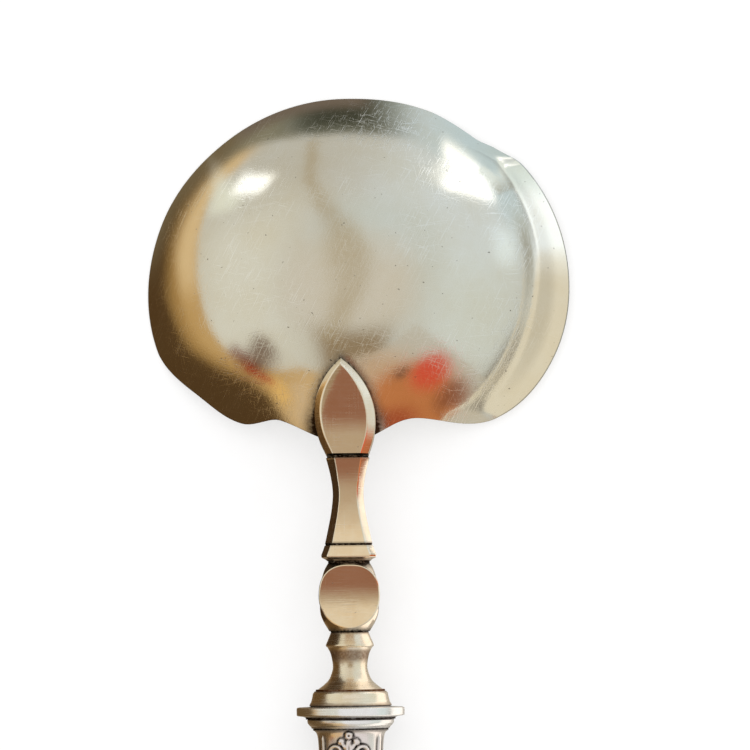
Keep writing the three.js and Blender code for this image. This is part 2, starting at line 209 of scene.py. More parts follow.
def onStem(points):  # stem millimetres to metres in the part's frame
    p = np.asarray(points, float)
    shift = np.outer(p[:, 0], (1, 0, 0)) + np.outer(p[:, 1], stemDown) + np.outer(p[:, 2], stemUp)
    return np.array(heel) + shift * mm


# Materials. What all the silver has: grain and bump in mm, then scratch edge, least scratching and added roughness
silverGrain = {"pit": 0.55, "grit": 0.35, "bumpDepth": 0.02, "lineEdge": 0.1, "leastPatch": 0.1,
               "cloudRough": 0.05, "tarnishRough": 0.35}


def silver(name, look):
    # Sterling silver, hand finished: a soft mirror with hair scratches, a warm bloom and brown-black
    # sulphide where polish never reaches. Scratches are drawn 0.1 to 0.3 mm wide so that they show.
    grain = silverGrain
    material = bpy.data.materials.new(name)
    tree = emptyTree(material)
    place = addNode(tree, "ShaderNodeTexCoord").outputs["Object"]
    scratches = 0.0
    for turn, length, width, low, amount in look["scratches"]:
        along = addNode(tree, "ShaderNodeMapping", {
            "Vector": place, "Rotation": (0, 0, math.radians(turn)),
            "Scale": (length * mm, width * mm, length * mm)}, vector_type="TEXTURE")
        streak = addNode(tree, "ShaderNodeTexNoise", {
            "Vector": along, "Scale": 1.0, "Detail": 1.5, "Roughness": 0.45})
        line = addNode(tree, "ShaderNodeMapRange", {
            "Value": streak, "From Min": low, "From Max": low + grain["lineEdge"], "To Max": amount})
        scratches = addNode(tree, "ShaderNodeMath", {0: scratches, 1: line}, operation="ADD", use_clamp=True)
    # Marks: size in mm, detail and roughness of the noise, the part of it that shows, and from how little to how much
    marks = {"patch": (look["patch"], 1.0, 0.5, 0.4, 0.64, 0.25, 1.0),
             "cloud": (look["cloud"], 4.0, 0.6, 0.35, 0.75, 0.0, look["bloom"]),
             "pit": (grain["pit"], 0.0, 0.5, 0.835, 0.87, 0.0, look["pits"]),
             "grit": (grain["grit"], 2.0, 0.5, 0.3, 0.7, 0.8, 1.15)}
    noise, shown = {}, {}
    for mark, (width, detail, roughness, low, high, least, most) in marks.items():
        noise[mark] = addNode(tree, "ShaderNodeTexNoise", {
            "Vector": place, "Scale": 1 / (width * mm), "Detail": detail, "Roughness": roughness})
        shown[mark] = addNode(tree, "ShaderNodeMapRange", {
            "Value": noise[mark], "From Min": low, "From Max": high, "To Min": least, "To Max": most})
    scuff, patinaShadeLevel = (addNode(tree, "ShaderNodeAttribute", attribute_name=layer).outputs["Fac"]
                   for layer in ("scuff", "patinaAndShade"))
    patchy = addNode(tree, "ShaderNodeMath", {0: shown["patch"], 1: scuff}, operation="ADD")
    patchy = addNode(tree, "ShaderNodeMath", {0: patchy, 1: grain["leastPatch"]}, operation="MAXIMUM")
    scratches = addNode(tree, "ShaderNodeMath", {0: scratches, 1: patchy}, operation="MULTIPLY")
    # tarnish and painted shade: the dark colour comes in where the patina layer is high, and on the bowl's rim and fold
    # that layer is painted shade
    tarnishAndShade = addNode(tree, "ShaderNodeMath", {0: patinaShadeLevel, 1: shown["grit"], 2: shown["pit"]},
                      operation="MULTIPLY_ADD", use_clamp=True)
    warm = addNode(tree, "ShaderNodeMix", {
        "Factor": shown["cloud"], "A": hexColour(look["colour"]), "B": hexColour(look["warm"])}, data_type="RGBA")
    bright = addNode(tree, "ShaderNodeMath", {0: scratches, 1: look["hairline"]}, operation="MULTIPLY")
    lined = addNode(tree, "ShaderNodeMix", {"Factor": bright, "A": warm, "B": hexColour("#ffffff")}, data_type="RGBA")
    colour = addNode(tree, "ShaderNodeMix", {
        "Factor": tarnishAndShade, "A": lined, "B": hexColour(look["tarnishAndShade"])}, data_type="RGBA")
    rough = look["roughness"]
    for amount, share in ((scratches, look["scratchRough"]), (noise["cloud"], grain["cloudRough"]),
                          (tarnishAndShade, grain["tarnishRough"])):
        rough = addNode(tree, "ShaderNodeMath", {0: amount, 1: share, 2: rough}, operation="MULTIPLY_ADD")
    relief = addNode(tree, "ShaderNodeMath", {0: scratches, 1: -1.0, 2: noise["grit"]}, operation="MULTIPLY_ADD")
    bump = addNode(tree, "ShaderNodeBump", {
        "Height": relief, "Strength": look["bump"], "Distance": grain["bumpDepth"] * mm})
    shader = addNode(tree, "ShaderNodeBsdfPrincipled", {
        "Base Color": colour, "Metallic": 1.0, "Roughness": rough, "Normal": bump})
    addNode(tree, "ShaderNodeOutputMaterial", {"Surface": shader})
    return material


# Scratch rows: direction in degrees, length and width in mm, threshold, weight
bowlSilver = silver("polishedSilver", {  # raised from sheet, planished, then polished by hand
    "colour": "#ece8df", "warm": "#e2d6be", "tarnishAndShade": "#3a2a1c", "cloud": 9.0, "bloom": 0.5,
    "roughness": 0.1, "scratchRough": 0.14, "bump": 0.3, "hairline": 0.6, "patch": 11.0, "pits": 0.55,
    "scratches": [(62, 4.0, 0.16, 0.60, 0.9), (-18, 3.0, 0.14, 0.62, 0.7), (8, 6.0, 0.2, 0.63, 0.6),
                  (100, 2.2, 0.12, 0.62, 0.7)]})
stemLook = {"cloud": 3.0, "bloom": 0.6, "roughness": 0.24, "scratchRough": 0.12, "bump": 0.25, "hairline": 0.3,
            "patch": 6.0, "pits": 0.3, "scratches": [(0, 14.0, 0.13, 0.55, 0.8), (70, 2.0, 0.14, 0.64, 0.6)]}
filedSilver = silver("filedSilver", stemLook | {  # filed to its flats and stoned
    "colour": "#fdf0de", "warm": "#f4dab8", "tarnishAndShade": "#1d130b", "cloud": 4.0, "roughness": 0.13,
    "bump": 0.28, "hairline": 0.4, "pits": 0.4,
    "scratches": [(0, 5.0, 0.15, 0.55, 0.8), (90, 6.0, 0.13, 0.59, 0.6)]})
turnedSilver = silver("turnedSilver", stemLook | {  # turned, so its lines run across the stem
    "colour": "#fbf0de", "warm": "#f0d8b4", "tarnishAndShade": "#6a4020", "bloom": 0.7, "bump": 0.3})
burnishedSilver = silver("burnishedSilver", stemLook | {  # turned, then rubbed bright with a steel
    "colour": "#f8f8f8", "warm": "#ece4e0", "tarnishAndShade": "#2a1c14"})
stampedSilver = silver("stampedSilver", stemLook | {  # struck from thin sheet in a die
    "colour": "#f6f1ee", "warm": "#e8dad4", "tarnishAndShade": "#1f1610", "cloud": 4.0, "roughness": 0.23,
    "scratches": [(84, 4.0, 0.15, 0.6, 0.7), (20, 2.5, 0.14, 0.63, 0.6)]})
print("silver finishes made")

# Bowl: radii in plan from its centre and heights above the table, all in mm
bowlSizes = {
    "depth": 18.0, "fullness": 2.8, "sheet": 1.1, "land": 1.2, "fromHeel": 33.0,
    "creaseSoft": 1.0, "creaseLimit": 0.92, "lipHeight": 1.4, "edgeRound": 0.4, "edgeSteps": 5,
    "lipUpper": (47, 28), "lipLower": (-60, -42),  # degrees: where the lip starts, where it is full
    "wall": [(90, 28.8), (132, 29.5), (168, 32.2), (204, 35.1), (236, 35.6), (270, 37.0), (306, 36.4),
             (340, 36.0), (360, 35.3), (390, 33.4), (404, 31.7), (426, 29.9)],
    "crease": [(90, 30.8), (180, 30.8), (270, 30.8), (300, 32.9), (325, 33.2), (338, 32.9), (348, 32.6),
               (360, 32.3), (372, 31.8), (388, 31.0), (406, 30.6)],
    "edge": [(90, 29.0), (132, 29.6), (168, 32.2), (204, 35.1), (222, 33.4), (237, 32.3), (247, 29.2),
             (270, 30.8), (292, 29.0), (314, 36.5), (336, 38.6), (360, 37.7), (390, 34.6), (398, 32.5),
             (404, 31.0), (426, 30.1)],
    "sides": 300, "domeRows": 34, "lipRows": 12, "rowPower": 0.92,
    "normalStep": 0.006, "normalTurn": 0.6,  # share and degrees to each side of a point
    "waveHeight": 0.025, "waveLengths": (4.7, 5.9, 3.9, 9), "waveShifts": (1.1, 0.4),  # hammering under the polish
    "crossWaves": 0.6, "backSkin": 0.5, "nearRim": (0.84, 0.98), "lipPolish": 0.7,
    "dropDarkening": [(0.55, 0.1, 0.5), (0.4, 0.2, 1.9)], "cornerDarkening": (0.5, 0.4, 2.6),  # depth, mm where full and gone
    "rimPaintedShade": 0.45, "foldPaintedShade": 0.3, "foldUpper": (-4, 8),  # painted shade on the rim's rounding and in the fold, then degrees over which the fold's painted shade comes in
    "scuffs": [(4, 24.5, 5, 2.2), (9, 23, 4, 2.2), (-4, 23, 4, 0.8), (21, -18, 6, 0.4)],  # x, y, reach, depth
}


def throughStations(stations):  # smooth closed curve of radius by direction
    at = np.array([s[0] for s in stations], float)
    value = np.array([s[1] for s in stations], float)
    at = np.concatenate([at[-2:] - 360, at, at[:2] + 360])
    value = np.concatenate([value[-2:], value, value[:2]])
    slope = np.zeros_like(at)
    slope[1:-1] = (value[2:] - value[:-2]) / (at[2:] - at[:-2])

    def curve(degrees):
        d = at[2] + np.mod(np.asarray(degrees, float) - at[2], 360)
        i = np.searchsorted(at, d, side="right") - 1
        span = at[i + 1] - at[i]
        t = (d - at[i]) / span
        bend = span * t * (1 - t) * (slope[i] * (1 - t) - slope[i + 1] * t)
        return value[i] + (value[i + 1] - value[i]) * t * t * (3 - 2 * t) + bend

    return curve


bowlWall = throughStations(bowlSizes["wall"])
bowlEdge = throughStations(bowlSizes["edge"])
bowlFold = throughStations(bowlSizes["crease"])


def lipShare(degrees):  # 1 where the lip is fully turned out
    turn = np.mod(np.asarray(degrees, float) + 180, 360) - 180
    upperRoot, upperFull = bowlSizes["lipUpper"]
    lowerRoot, lowerFull = bowlSizes["lipLower"]
    return (1 - smoothStep(upperFull, upperRoot, turn)) * smoothStep(lowerRoot, lowerFull, turn)


def bowlRim(degrees):
    edge = bowlEdge(degrees)
    plain = np.minimum(edge, bowlWall(degrees))
    return plain + (edge - plain) * lipShare(degrees)


def bowlCrease(degrees):
    return np.minimum(bowlFold(degrees) / bowlRim(degrees), bowlSizes["creaseLimit"])


def bowlBack(degrees, share):  # point on the back, share 0 at the centre and 1 at the rim
    size = bowlSizes
    rim, wall, crease = bowlRim(degrees), bowlWall(degrees), bowlCrease(degrees)
    lip, reach, turn = lipShare(degrees), share * rim, crease * rim
    plain = size["depth"] * (1 - (reach / wall) ** size["fullness"])
    atTurn = size["depth"] * (1 - (turn / wall) ** size["fullness"])
    wallSlope = -size["depth"] * size["fullness"] * (turn / wall) ** (size["fullness"] - 1) / wall
    lipSlope = (size["lipHeight"] - atTurn) / (rim - turn)
    beyond, soft = reach - turn, size["creaseSoft"]
    bend = (lipSlope - wallSlope) * np.clip(beyond + soft, 0, 2 * soft) ** 2 / (4 * soft)
    bend = bend - np.where(beyond > 0, (lipSlope - wallSlope) * np.minimum(beyond, soft), 0)
    height = np.where(beyond > 0, atTurn + lipSlope * beyond, plain)
    height = plain + (height - plain + np.where(np.abs(beyond) < soft, bend, 0)) * lip
    angle = np.radians(degrees)
    return np.stack(np.broadcast_arrays(reach * np.cos(angle), reach * np.sin(angle), height), -1)


def bowlNormal(degrees, share):
    step, turn = bowlSizes["normalStep"], bowlSizes["normalTurn"]
    inner = np.minimum(share, 1 - step)
    outward = bowlBack(degrees, inner + step) - bowlBack(degrees, inner - step)
    around = bowlBack(degrees + turn, inner) - bowlBack(degrees - turn, inner)
    normal = np.cross(outward, around)
    return normal / np.linalg.norm(normal, axis=-1, keepdims=True)


def bowlHeight(x, y):  # height of the back under a plan point, level past the rim
    degrees = np.degrees(np.arctan2(y, x))
    share = np.clip(np.hypot(x, y) / bowlRim(degrees), 0.001, 1)
    return bowlBack(degrees, share)[..., 2]


def onBowl(points):  # bowl millimetres to metres in the part's frame
    base = np.array((heel.x, heel.y + bowlSizes["fromHeel"] * mm, 0.0))
    return base + np.asarray(points, float) * mm


def makeBowl():
    size = bowlSizes
    degrees = np.arange(size["sides"]) * 360 / size["sides"]
    crease = bowlCrease(degrees)
    dome = np.linspace(0, 1, size["domeRows"] + 1)[1:] ** size["rowPower"]
    lip = np.linspace(0, 1, size["lipRows"] + 1)[1:]
    shares = [crease * row for row in dome] + [crease + (1 - crease) * row for row in lip]
    longX, longY, longSum, longCross = size["waveLengths"]
    shiftX, shiftY = size["waveShifts"]

    def ring(share, raised):
        p, n = bowlBack(degrees, share), bowlNormal(degrees, share)
        x, y = p[:, :1], p[:, 1:2]
        wave = np.sin(x / longX + shiftX) * np.sin(y / longY + shiftY)
        wave = wave + size["crossWaves"] * np.sin((x + y) / longSum) * np.sin((x - 2 * y) / longCross)
        return p + n * (raised + size["waveHeight"] * wave * (1 - np.atleast_1d(share)[:, None] ** 4))

    back = [ring(s, 0) for s in shares]
    inside = [ring(s, -size["sheet"]) for s in shares]
    inward = np.stack([-np.cos(np.radians(degrees)), -np.sin(np.radians(degrees)), 0 * degrees], -1)
    level = back[-1] + inward * size["land"]
    inside[-1] = level + (inside[-1] - level) * lipShare(degrees)[:, None]

    def corner(before, at, after):  # rounds one edge of the rim
        a, b = before - at, after - at
        a, b = (v / np.linalg.norm(v, axis=1, keepdims=True) * size["edgeRound"] for v in (a, b))
        return [at + a * (1 - t) ** 2 + b * t * t for t in np.linspace(0, 1, size["edgeSteps"])]

    outer = corner(back[-2], back[-1], inside[-1])
    inner = corner(back[-1], inside[-1], inside[-2])
    rings = back[:-1] + outer + inner + inside[-2::-1]
    points = np.concatenate(rings + [[(0, 0, size["depth"])], [(0, 0, size["depth"] - size["sheet"])]])
    x, y, z = points.T
    gap = dropClearance(x, y)
    direction = np.degrees(np.arctan2(y, x))
    nearRim = smoothStep(*size["nearRim"], np.hypot(x, y) / bowlRim(direction))

    def darkening(depth, full, gone):  # dark beside the leaf
        return depth * (1 - smoothStep(full, gone, gap))

    # darker round the leaf, and more so where the leaf nears the rim
    halo = sum(darkening(*row) for row in size["dropDarkening"]) + darkening(*size["cornerDarkening"]) * nearRim
    halo = halo * (z > bowlHeight(x, y) - size["backSkin"])
    around = size["sides"]
    rimLine = (len(back) - 1) * around
    # painted shade: the rounding of the rim is darkened into a dark line along the edge
    halo[rimLine + around : rimLine + (size["edgeSteps"] - 1) * around] = size["rimPaintedShade"]
    foldLine = (size["domeRows"] - 1) * around
    upper = smoothStep(*size["foldUpper"], (degrees + 180) % 360 - 180) * lipShare(degrees)
    halo[foldLine : foldLine + around] += size["foldPaintedShade"] * upper  # painted shade in the fold at the lip's upper end
    scuff = -size["lipPolish"] * lipShare(direction) * nearRim  # the lip is the best polished
    for right, up, wide, depth in size["scuffs"]:
        scuff = scuff + depth * np.exp(-((x - right) ** 2 + (y - up) ** 2) / wide**2)
    makePiece("bowl_sheet", onBowl(points), fannedFaces(len(rings), around), bowlSilver, "bowl_silver", ["bowl"],
              halo, scuff=scuff)


# Heel drop: leaf with a hollow face and two bevels, mm from the heel's end face towards the tip
dropSizes = {"length": 15.8, "halfWidth": 5.05, "widest": 6.4, "heelHalfWidth": 3.45, "heelHalfDepth": 3.6,
             "bevelLeft": 1.0, "bevelRight": 1.45, "bevelDrop": 1.2, "tipRise": 1.3, "lean": 3.4,
             "hollow": 0.45, "edgeRound": 0.2, "sunk": 0.3, "joint": 0.12, "tipGap": 0.04, "ridgeShift": 0.03,
             "leastSide": 0.3, "darkening": 0.9, "darkeningReach": 0.9, "sections": 46, "rowPower": 0.9, "steps": 60,
             "nearBend": (0.3, 0.55), "farBend": (0.43, 0.82), "farNarrow": 0.48,  # handles of the outline's curves
             "slant": 0.85}  # distance to the sloping outline for each mm across


def dropHalfWidth(along):  # half width of the leaf at a distance from the heel
    size = dropSizes
    long = size["length"] - size["widest"]

    def bezier(points):
        t = np.linspace(0, 1, size["steps"])[:, None]
        a, b, c, d = (np.array(p, float) for p in points)
        return a * (1 - t) ** 3 + 3 * b * t * (1 - t) ** 2 + 3 * c * t * t * (1 - t) + d * t**3

    wide, at, heelWide = size["halfWidth"], size["widest"], size["heelHalfWidth"]
    (nearOne, nearTwo), (farOne, farTwo) = size["nearBend"], size["farBend"]
    near = bezier([(0, heelWide), (at * nearOne, (heelWide + wide) / 2), (at * nearTwo, wide), (at, wide)])
    far = bezier([(at, wide), (at + long * farOne, wide), (at + long * farTwo, wide * size["farNarrow"]),
                  (size["length"], 0)])
    line = np.concatenate([near, far[1:]])
    return np.interp(along, line[:, 0], line[:, 1])


def dropFrame(x, y):  # plan point in the bowl's frame to across and along the leaning leaf
    along = y + bowlSizes["fromHeel"]
    return x + along * math.tan(math.radians(dropSizes["lean"])), along


def dropClearance(x, y):  # mm from the leaf's outline, negative inside it
    across, along = dropFrame(x, y)
    past = np.maximum(along - dropSizes["length"], 0)
    beside = np.abs(across) - dropHalfWidth(np.clip(along, 0, dropSizes["length"]))
    return np.where(past > 0, np.hypot(past, across), beside * dropSizes["slant"])


def makeDrop():
    size = dropSizes
    lean = math.tan(math.radians(size["lean"]))
    rows = np.linspace(0, 1, size["sections"]) ** size["rowPower"]
    reach = size["joint"] + (size["length"] - size["tipGap"] - size["joint"]) * rows
    tip = bowlHeight(0.0, size["length"] - bowlSizes["fromHeel"]) + stemRun["seam"] + size["tipRise"]
    heelZ = heel.z / mm
    faceZ = heelZ + size["heelHalfDepth"]
    rings, dark = [], []
    for along in reach:
        half = float(dropHalfWidth(along))
        share = along / size["length"]
        top = faceZ + (tip - faceZ) * share - size["hollow"] * 4 * share * (1 - share)
        narrow = min(half / (size["bevelLeft"] + size["bevelRight"]) * 2, 1)  # bevels meet at the tip
        right, left = (half - size[bevel] * narrow + size["ridgeShift"] for bevel in ("bevelRight", "bevelLeft"))
        ridge = top - size["bevelDrop"] * (1 - narrow)
        side = top - size["bevelDrop"]

        def underneath(across):
            x, y = across - along * lean, along - bowlSizes["fromHeel"]
            inBowl = np.hypot(x, y) < bowlRim(np.degrees(np.arctan2(y, x)))
            low = float(bowlHeight(x, y)) - size["sunk"] if inBowl else heelZ - size["heelHalfDepth"]
            return min(low, side - size["leastSide"])

        corners = [(half, underneath(half)), (half, side), (right, ridge),
                   (-left, ridge), (-half, side), (-half, underneath(-half))]
        outline = softened(corners, size["edgeRound"])
        rings.append([(c[0] - along * lean, along - bowlSizes["fromHeel"], c[1]) for c in outline])
        # darker towards the foot of the leaf's sides, where they meet the bowl
        dark.append([size["darkening"] * smoothStep(size["darkeningReach"], 0, c[1] - underneath(c[0])) for c in outline])
    around = len(rings[0])
    points = np.concatenate([np.array(r) for r in rings])
    faces = gridFaces(len(rings), around)
    faces.append(tuple(range(around)))
    faces.append(tuple(range(len(points) - 1, len(points) - 1 - around, -1)))
    makePiece("heel_leaf", onBowl(points), faces, filedSilver, "stem_silver", ["heel_drop"],
              np.concatenate(dark))


makeBowl()
makeDrop()
print("bowl and heel drop made")

# Neck and collar: four-sided bars with filed chamfers; profiles are (half width, mm along)
barSizes = {
    "bore": 1.6, "spigot": 0.15, "spigotReach": 0.4, "edgeRound": 0.16, "lip": 0.1, "jointDirt": 0.5,
    "neck": {"profile": [(3.6, 0.15), (2.87, 3.2), (2.55, 6.1), (2.82, 9.0), (3.36, 11.8), (3.93, 14.4)],
             "depth": [(3.4, 0.15), (2.87, 3.2), (2.62, 6.1), (2.76, 9.0), (3.15, 11.8), (3.6, 14.4)],
             "chamfer": [(0, 1.4), (3.5, 1.1), (9, 1.12), (14.4, 1.2)], "steps": 40,
             "topDirt": (0.6, 0.5), "footDirt": (0.6, 13.9, 14.4)},  # dirt is depth, then mm along
    "collar": {"profile": [(4.0, 0), (4.15, 0.5), (4.55, 1.55), (4.55, 1.9), (3.85, 2.25), (3.6, 2.5)],
               "chamfer": [(0, 1.0), (2.5, 1.0)], "cornerRound": 0.1,
               "topDirt": (0.3, 0.3), "footDirt": (0.7, 1.9, 2.5)},
}


def barRing(half, deep, chamfer, along):
    x, z = half - chamfer, deep - chamfer
    corners = [(half, z), (x, deep), (-x, deep), (-half, z), (-half, -z), (-x, -deep), (x, -deep), (half, -z)]
    return [(x, along, z) for x, z in softened(corners, barSizes["edgeRound"])]


def makeBar(name, node, member, profile, depth):
    size, own, start = barSizes, barSizes[member], stemStart[member]
    (first, top), (last, foot) = profile[0], profile[-1]
    low, high = top - size["spigotReach"], foot + size["spigotReach"]
    rows = [(first - size["spigot"], low), (first - size["spigot"], top), (first - size["lip"], top)]
    rows += [tuple(p) for p in profile]
    rows += [(last - size["lip"], foot), (last - size["spigot"], foot), (last - size["spigot"], high)]
    stations = [along for _, along in rows]
    cut = np.interp(stations, *zip(*own["chamfer"]))
    inset = [half - np.interp(along, profile[:, 1], profile[:, 0]) for half, along in rows]
    deep = np.interp(stations, depth[:, 1], depth[:, 0]) + inset
    rings = [barRing(half, thick, flat, start + along) for (half, along), thick, flat in zip(rows, deep, cut)]
    around = len(rings[0])
    angles = [math.atan2(z, x) for x, _, z in rings[0]]
    for along in (high, low):  # the bore that the tang passes through
        rings.append([(size["bore"] * math.cos(a), start + along, size["bore"] * math.sin(a)) for a in angles])
    (topDepth, topReach), (footDepth, *footRun) = own["topDirt"], own["footDirt"]
    tint = topDepth * (1 - smoothStep(0, topReach, profile[:, 1])) + footDepth * smoothStep(*footRun, profile[:, 1])
    darkening = [1.0, 1.0, size["jointDirt"], *tint, size["jointDirt"], 1.0, 1.0, 1.0, 1.0]
    points = onStem(np.concatenate([np.array(r) for r in rings]))
    makePiece(name, points, gridFaces(len(rings), around, looped=True), filedSilver, "stem_silver", [node],
              np.repeat(darkening, around))


neck, collar = barSizes["neck"], barSizes["collar"]
makeBar("neck_bar", "neck", "neck", *(splineThrough(neck[line], neck["steps"]) for line in ("profile", "depth")))
collarLine = np.array(softened(collar["profile"], collar["cornerRound"], closed=False))
makeBar("collar_bar", "neck_collar", "collar", collarLine, collarLine)
print("neck and collar made")

# Turned members: profiles are (radius, mm along) from the top of each
turnedSizes = {
    "sides": 128, "bore": 1.6, "spigotReach": 0.4, "spigot": 0.25, "creep": 0.09, "lip": 0.06, "jointDirt": 0.6,
    "edgeRound": 0.1, "balusterRound": 0.12, "flareSteps": 30,
    "baluster": [(3.15, 0), (3.25, 0.3), (3.85, 1.7), (3.98, 2.0), (3.98, 2.25), (3.74, 2.42)],
    "balusterFlare": [(3.74, 2.42), (3.2, 3.5), (2.88, 5.2), (2.98, 6.4), (3.7, 8.0), (5.5, 9.5)],
    "cap": [(6.0, 0), (6.22, 0.25), (6.35, 1.0), (6.55, 1.7), (6.85, 2.2)],
    "flange": [(6.9, 0), (8.6, 0.04), (8.9, 0.12), (8.95, 0.28), (8.95, 1.3), (8.8, 1.45), (7.7, 1.6)],
    "ring": [(7.0, 0), (7.2, 0.25), (7.15, 0.75), (6.85, 1.15), (6.6, 1.35), (6.5, 1.55)],
    "balusterWaist": (0.7, 2.5, 3.2, 4.1, 5.4),  # brown round the waist: depth, mm where it comes and goes
    "jointTint": {"baluster": (0.4, 0.1, 0.7), "cap": (0.05, 0.5, 0.6), "flange": (0.03, 0.03, 0.6),
                  "ring": (0.3, 0.3, 0.6)},  # mm it reaches from the top and the foot, depth
}


def turnedPoints(profile, start):
    turns = np.linspace(0, 2 * math.pi, turnedSizes["sides"], endpoint=False)
    rows = [np.stack([r * np.cos(turns), 0 * turns + start + a, r * np.sin(turns)], -1) for r, a in profile]
    return np.concatenate(rows)


def turnedLoop(profile):  # outside profile closed by spigots into the joints and by the bore
    size = turnedSizes
    first, last = profile[0], profile[-1]
    low, high = first[1] - size["spigotReach"], last[1] + size["spigotReach"]
    top, foot = first[1] - size["creep"], last[1] + size["creep"]  # lips of the joints
    inFirst, inLast = first[0] - size["spigot"], last[0] - size["spigot"]
    loop = [(inFirst, low), (inFirst, top), (first[0] - size["lip"], top)] + [tuple(p) for p in profile]
    loop += [(last[0] - size["lip"], foot), (inLast, foot), (inLast, high), (size["bore"], high), (size["bore"], low)]
    return loop


def makeTurned(name, node, member, profile, finish, waist=None):
    size, length = turnedSizes, stemRun[member]
    topReach, footReach, depth = size["jointTint"][member]

    def tint(a):  # tarnish that creeps out of the joints at both ends, and a brown band round the waist
        creep = depth * max(1 - a / topReach, 1 - (length - a) / footReach, 0)
        if not waist:
            return creep
        waistDepth, come, full, going, gone = waist
        return max(creep, waistDepth * smoothStep(come, full, a) * (1 - smoothStep(going, gone, a)))

    loop, joint = turnedLoop(profile), size["jointDirt"]
    darkening = [1.0, 1.0, joint, *(float(tint(p[1])) for p in profile), joint, 1.0, 1.0, 1.0, 1.0]
    makePiece(name, onStem(turnedPoints(loop, stemStart[member])), gridFaces(len(loop), size["sides"], looped=True),
              finish, "stem_silver", [node], np.repeat(darkening, size["sides"]))


balusterTop = softened(turnedSizes["baluster"], turnedSizes["balusterRound"], closed=False)
balusterLine = balusterTop[:-1] + list(splineThrough(turnedSizes["balusterFlare"], turnedSizes["flareSteps"]))
makeTurned("baluster_turning", "baluster", "baluster", balusterLine, turnedSilver, turnedSizes["balusterWaist"])
for name, node, member, finish in (("cap_step", "stepped_cap", "cap", turnedSilver),
                                   ("flange_disc", "mouth_flange", "flange", burnishedSilver),
                                   ("ring_moulding", "handle_ring", "ring", burnishedSilver)):
    line = softened(turnedSizes[member], turnedSizes["edgeRound"], closed=False)
    makeTurned(name, node, member, line, finish)
print("turned members made")

# Knop: thick medallion with a hollow-filed face front and back, on a barrel
knopSizes = {"radius": 5.05, "facet": 4.85, "halfDepth": 4.2, "stretch": 1.05, "end": 3.4, "hollow": 0.22,
             "chamfer": 0.2, "sides": 160, "hollowRows": 14, "flatTop": 2.5, "underFace": 0.25, "sharpAngle": 24,
             "chamferOut": (0.7, 0.35), "chamferFoot": 1.5, "bulge": (0.04, 0.6),
             "barrel": [(0, 0), (0.45, 0.1), (0.8, 0.25), (1, 0.5), (1, 0.72), (0.65, 0.86), (0, 1)],  # swell, length
             "barrelSteps": 36, "darkening": 0.9, "topReach": 2.2, "footReach": 0.8}


def makeKnop():
    size = knopSizes
    facet, deep, chamfer = size["facet"], size["halfDepth"], size["chamfer"]
    turns = np.linspace(0, 2 * math.pi, size["sides"], endpoint=False)
    half = [(facet * share, deep - size["hollow"] * (1 - share**2))
            for share in np.linspace(0, 1, size["hollowRows"] + 1)[1:]]
    (out, down), (bulge, bulgeAt) = size["chamferOut"], size["bulge"]
    half += [(facet + chamfer * out, deep - chamfer * down), (size["radius"], deep - chamfer * size["chamferFoot"]),
             (size["radius"] + bulge, bulgeAt)]
    profile = half + [(r, -z) for r, z in reversed(half)]
    power = np.where(np.sin(turns) < 0, 2 / size["flatTop"], 1.0)  # flatter towards the collar
    roundX, roundY = (np.sign(wave) * np.abs(wave) ** power for wave in (np.cos(turns), np.sin(turns)))
    rings = [np.stack([r * roundX, r * size["stretch"] * roundY + knopMiddle, 0 * turns + z], -1)
             for r, z in profile]
    middle = deep - size["hollow"]
    points = np.concatenate(rings + [[(0, knopMiddle, middle)], [(0, knopMiddle, -middle)]])
    medallion = makePiece("knop_medallion", onStem(points), fannedFaces(len(rings), size["sides"]), filedSilver)
    start, long, swell = stemStart["knop"], stemRun["knop"], facet - size["end"]
    barrel = splineThrough([(size["end"] + swell * out, long * at) for out, at in size["barrel"]], size["barrelSteps"])
    loop = turnedLoop(barrel)
    skin = turnedPoints(loop, start)
    inside = middle - size["underFace"]
    skin[:, 2] = np.clip(skin[:, 2], -inside, inside)  # the barrel stays under the hollow faces
    body = makePiece("knop_barrel", onStem(skin), gridFaces(len(loop), turnedSizes["sides"], looped=True), filedSilver)
    join = body.modifiers.new("medallion", "BOOLEAN")
    join.operation = "UNION"
    join.solver = "EXACT"
    join.object = medallion
    graph = bpy.context.evaluated_depsgraph_get()
    united = bpy.data.meshes.new_from_object(body.evaluated_get(graph), depsgraph=graph)
    for used in (body, medallion):
        bpy.data.objects.remove(used)
    united.set_sharp_from_angle(angle=math.radians(size["sharpAngle"]))
    spots = np.empty(len(united.vertices) * 3)
    united.vertices.foreach_get("co", spots)
    fromHeel = (spots.reshape(-1, 3) - np.array(heel)) / mm
    along, depth = fromHeel @ np.array(stemDown) - start, np.abs(fromHeel @ np.array(stemUp))
    dark = np.maximum(1 - along / size["topReach"], 1 - (long - along) / size["footReach"])
    dark = np.minimum(size["darkening"] * np.maximum(dark, 0), 1)
    dark = np.where(depth > deep - 2 * chamfer, 0, dark)  # the faces are rubbed clean
    united.attributes.new("patinaAndShade", "FLOAT", "POINT").data.foreach_set("value", dark.astype(np.float32))
    seatPiece(addObject("knop_medallion", united), ["knop"])


makeKnop()
print("knop made")

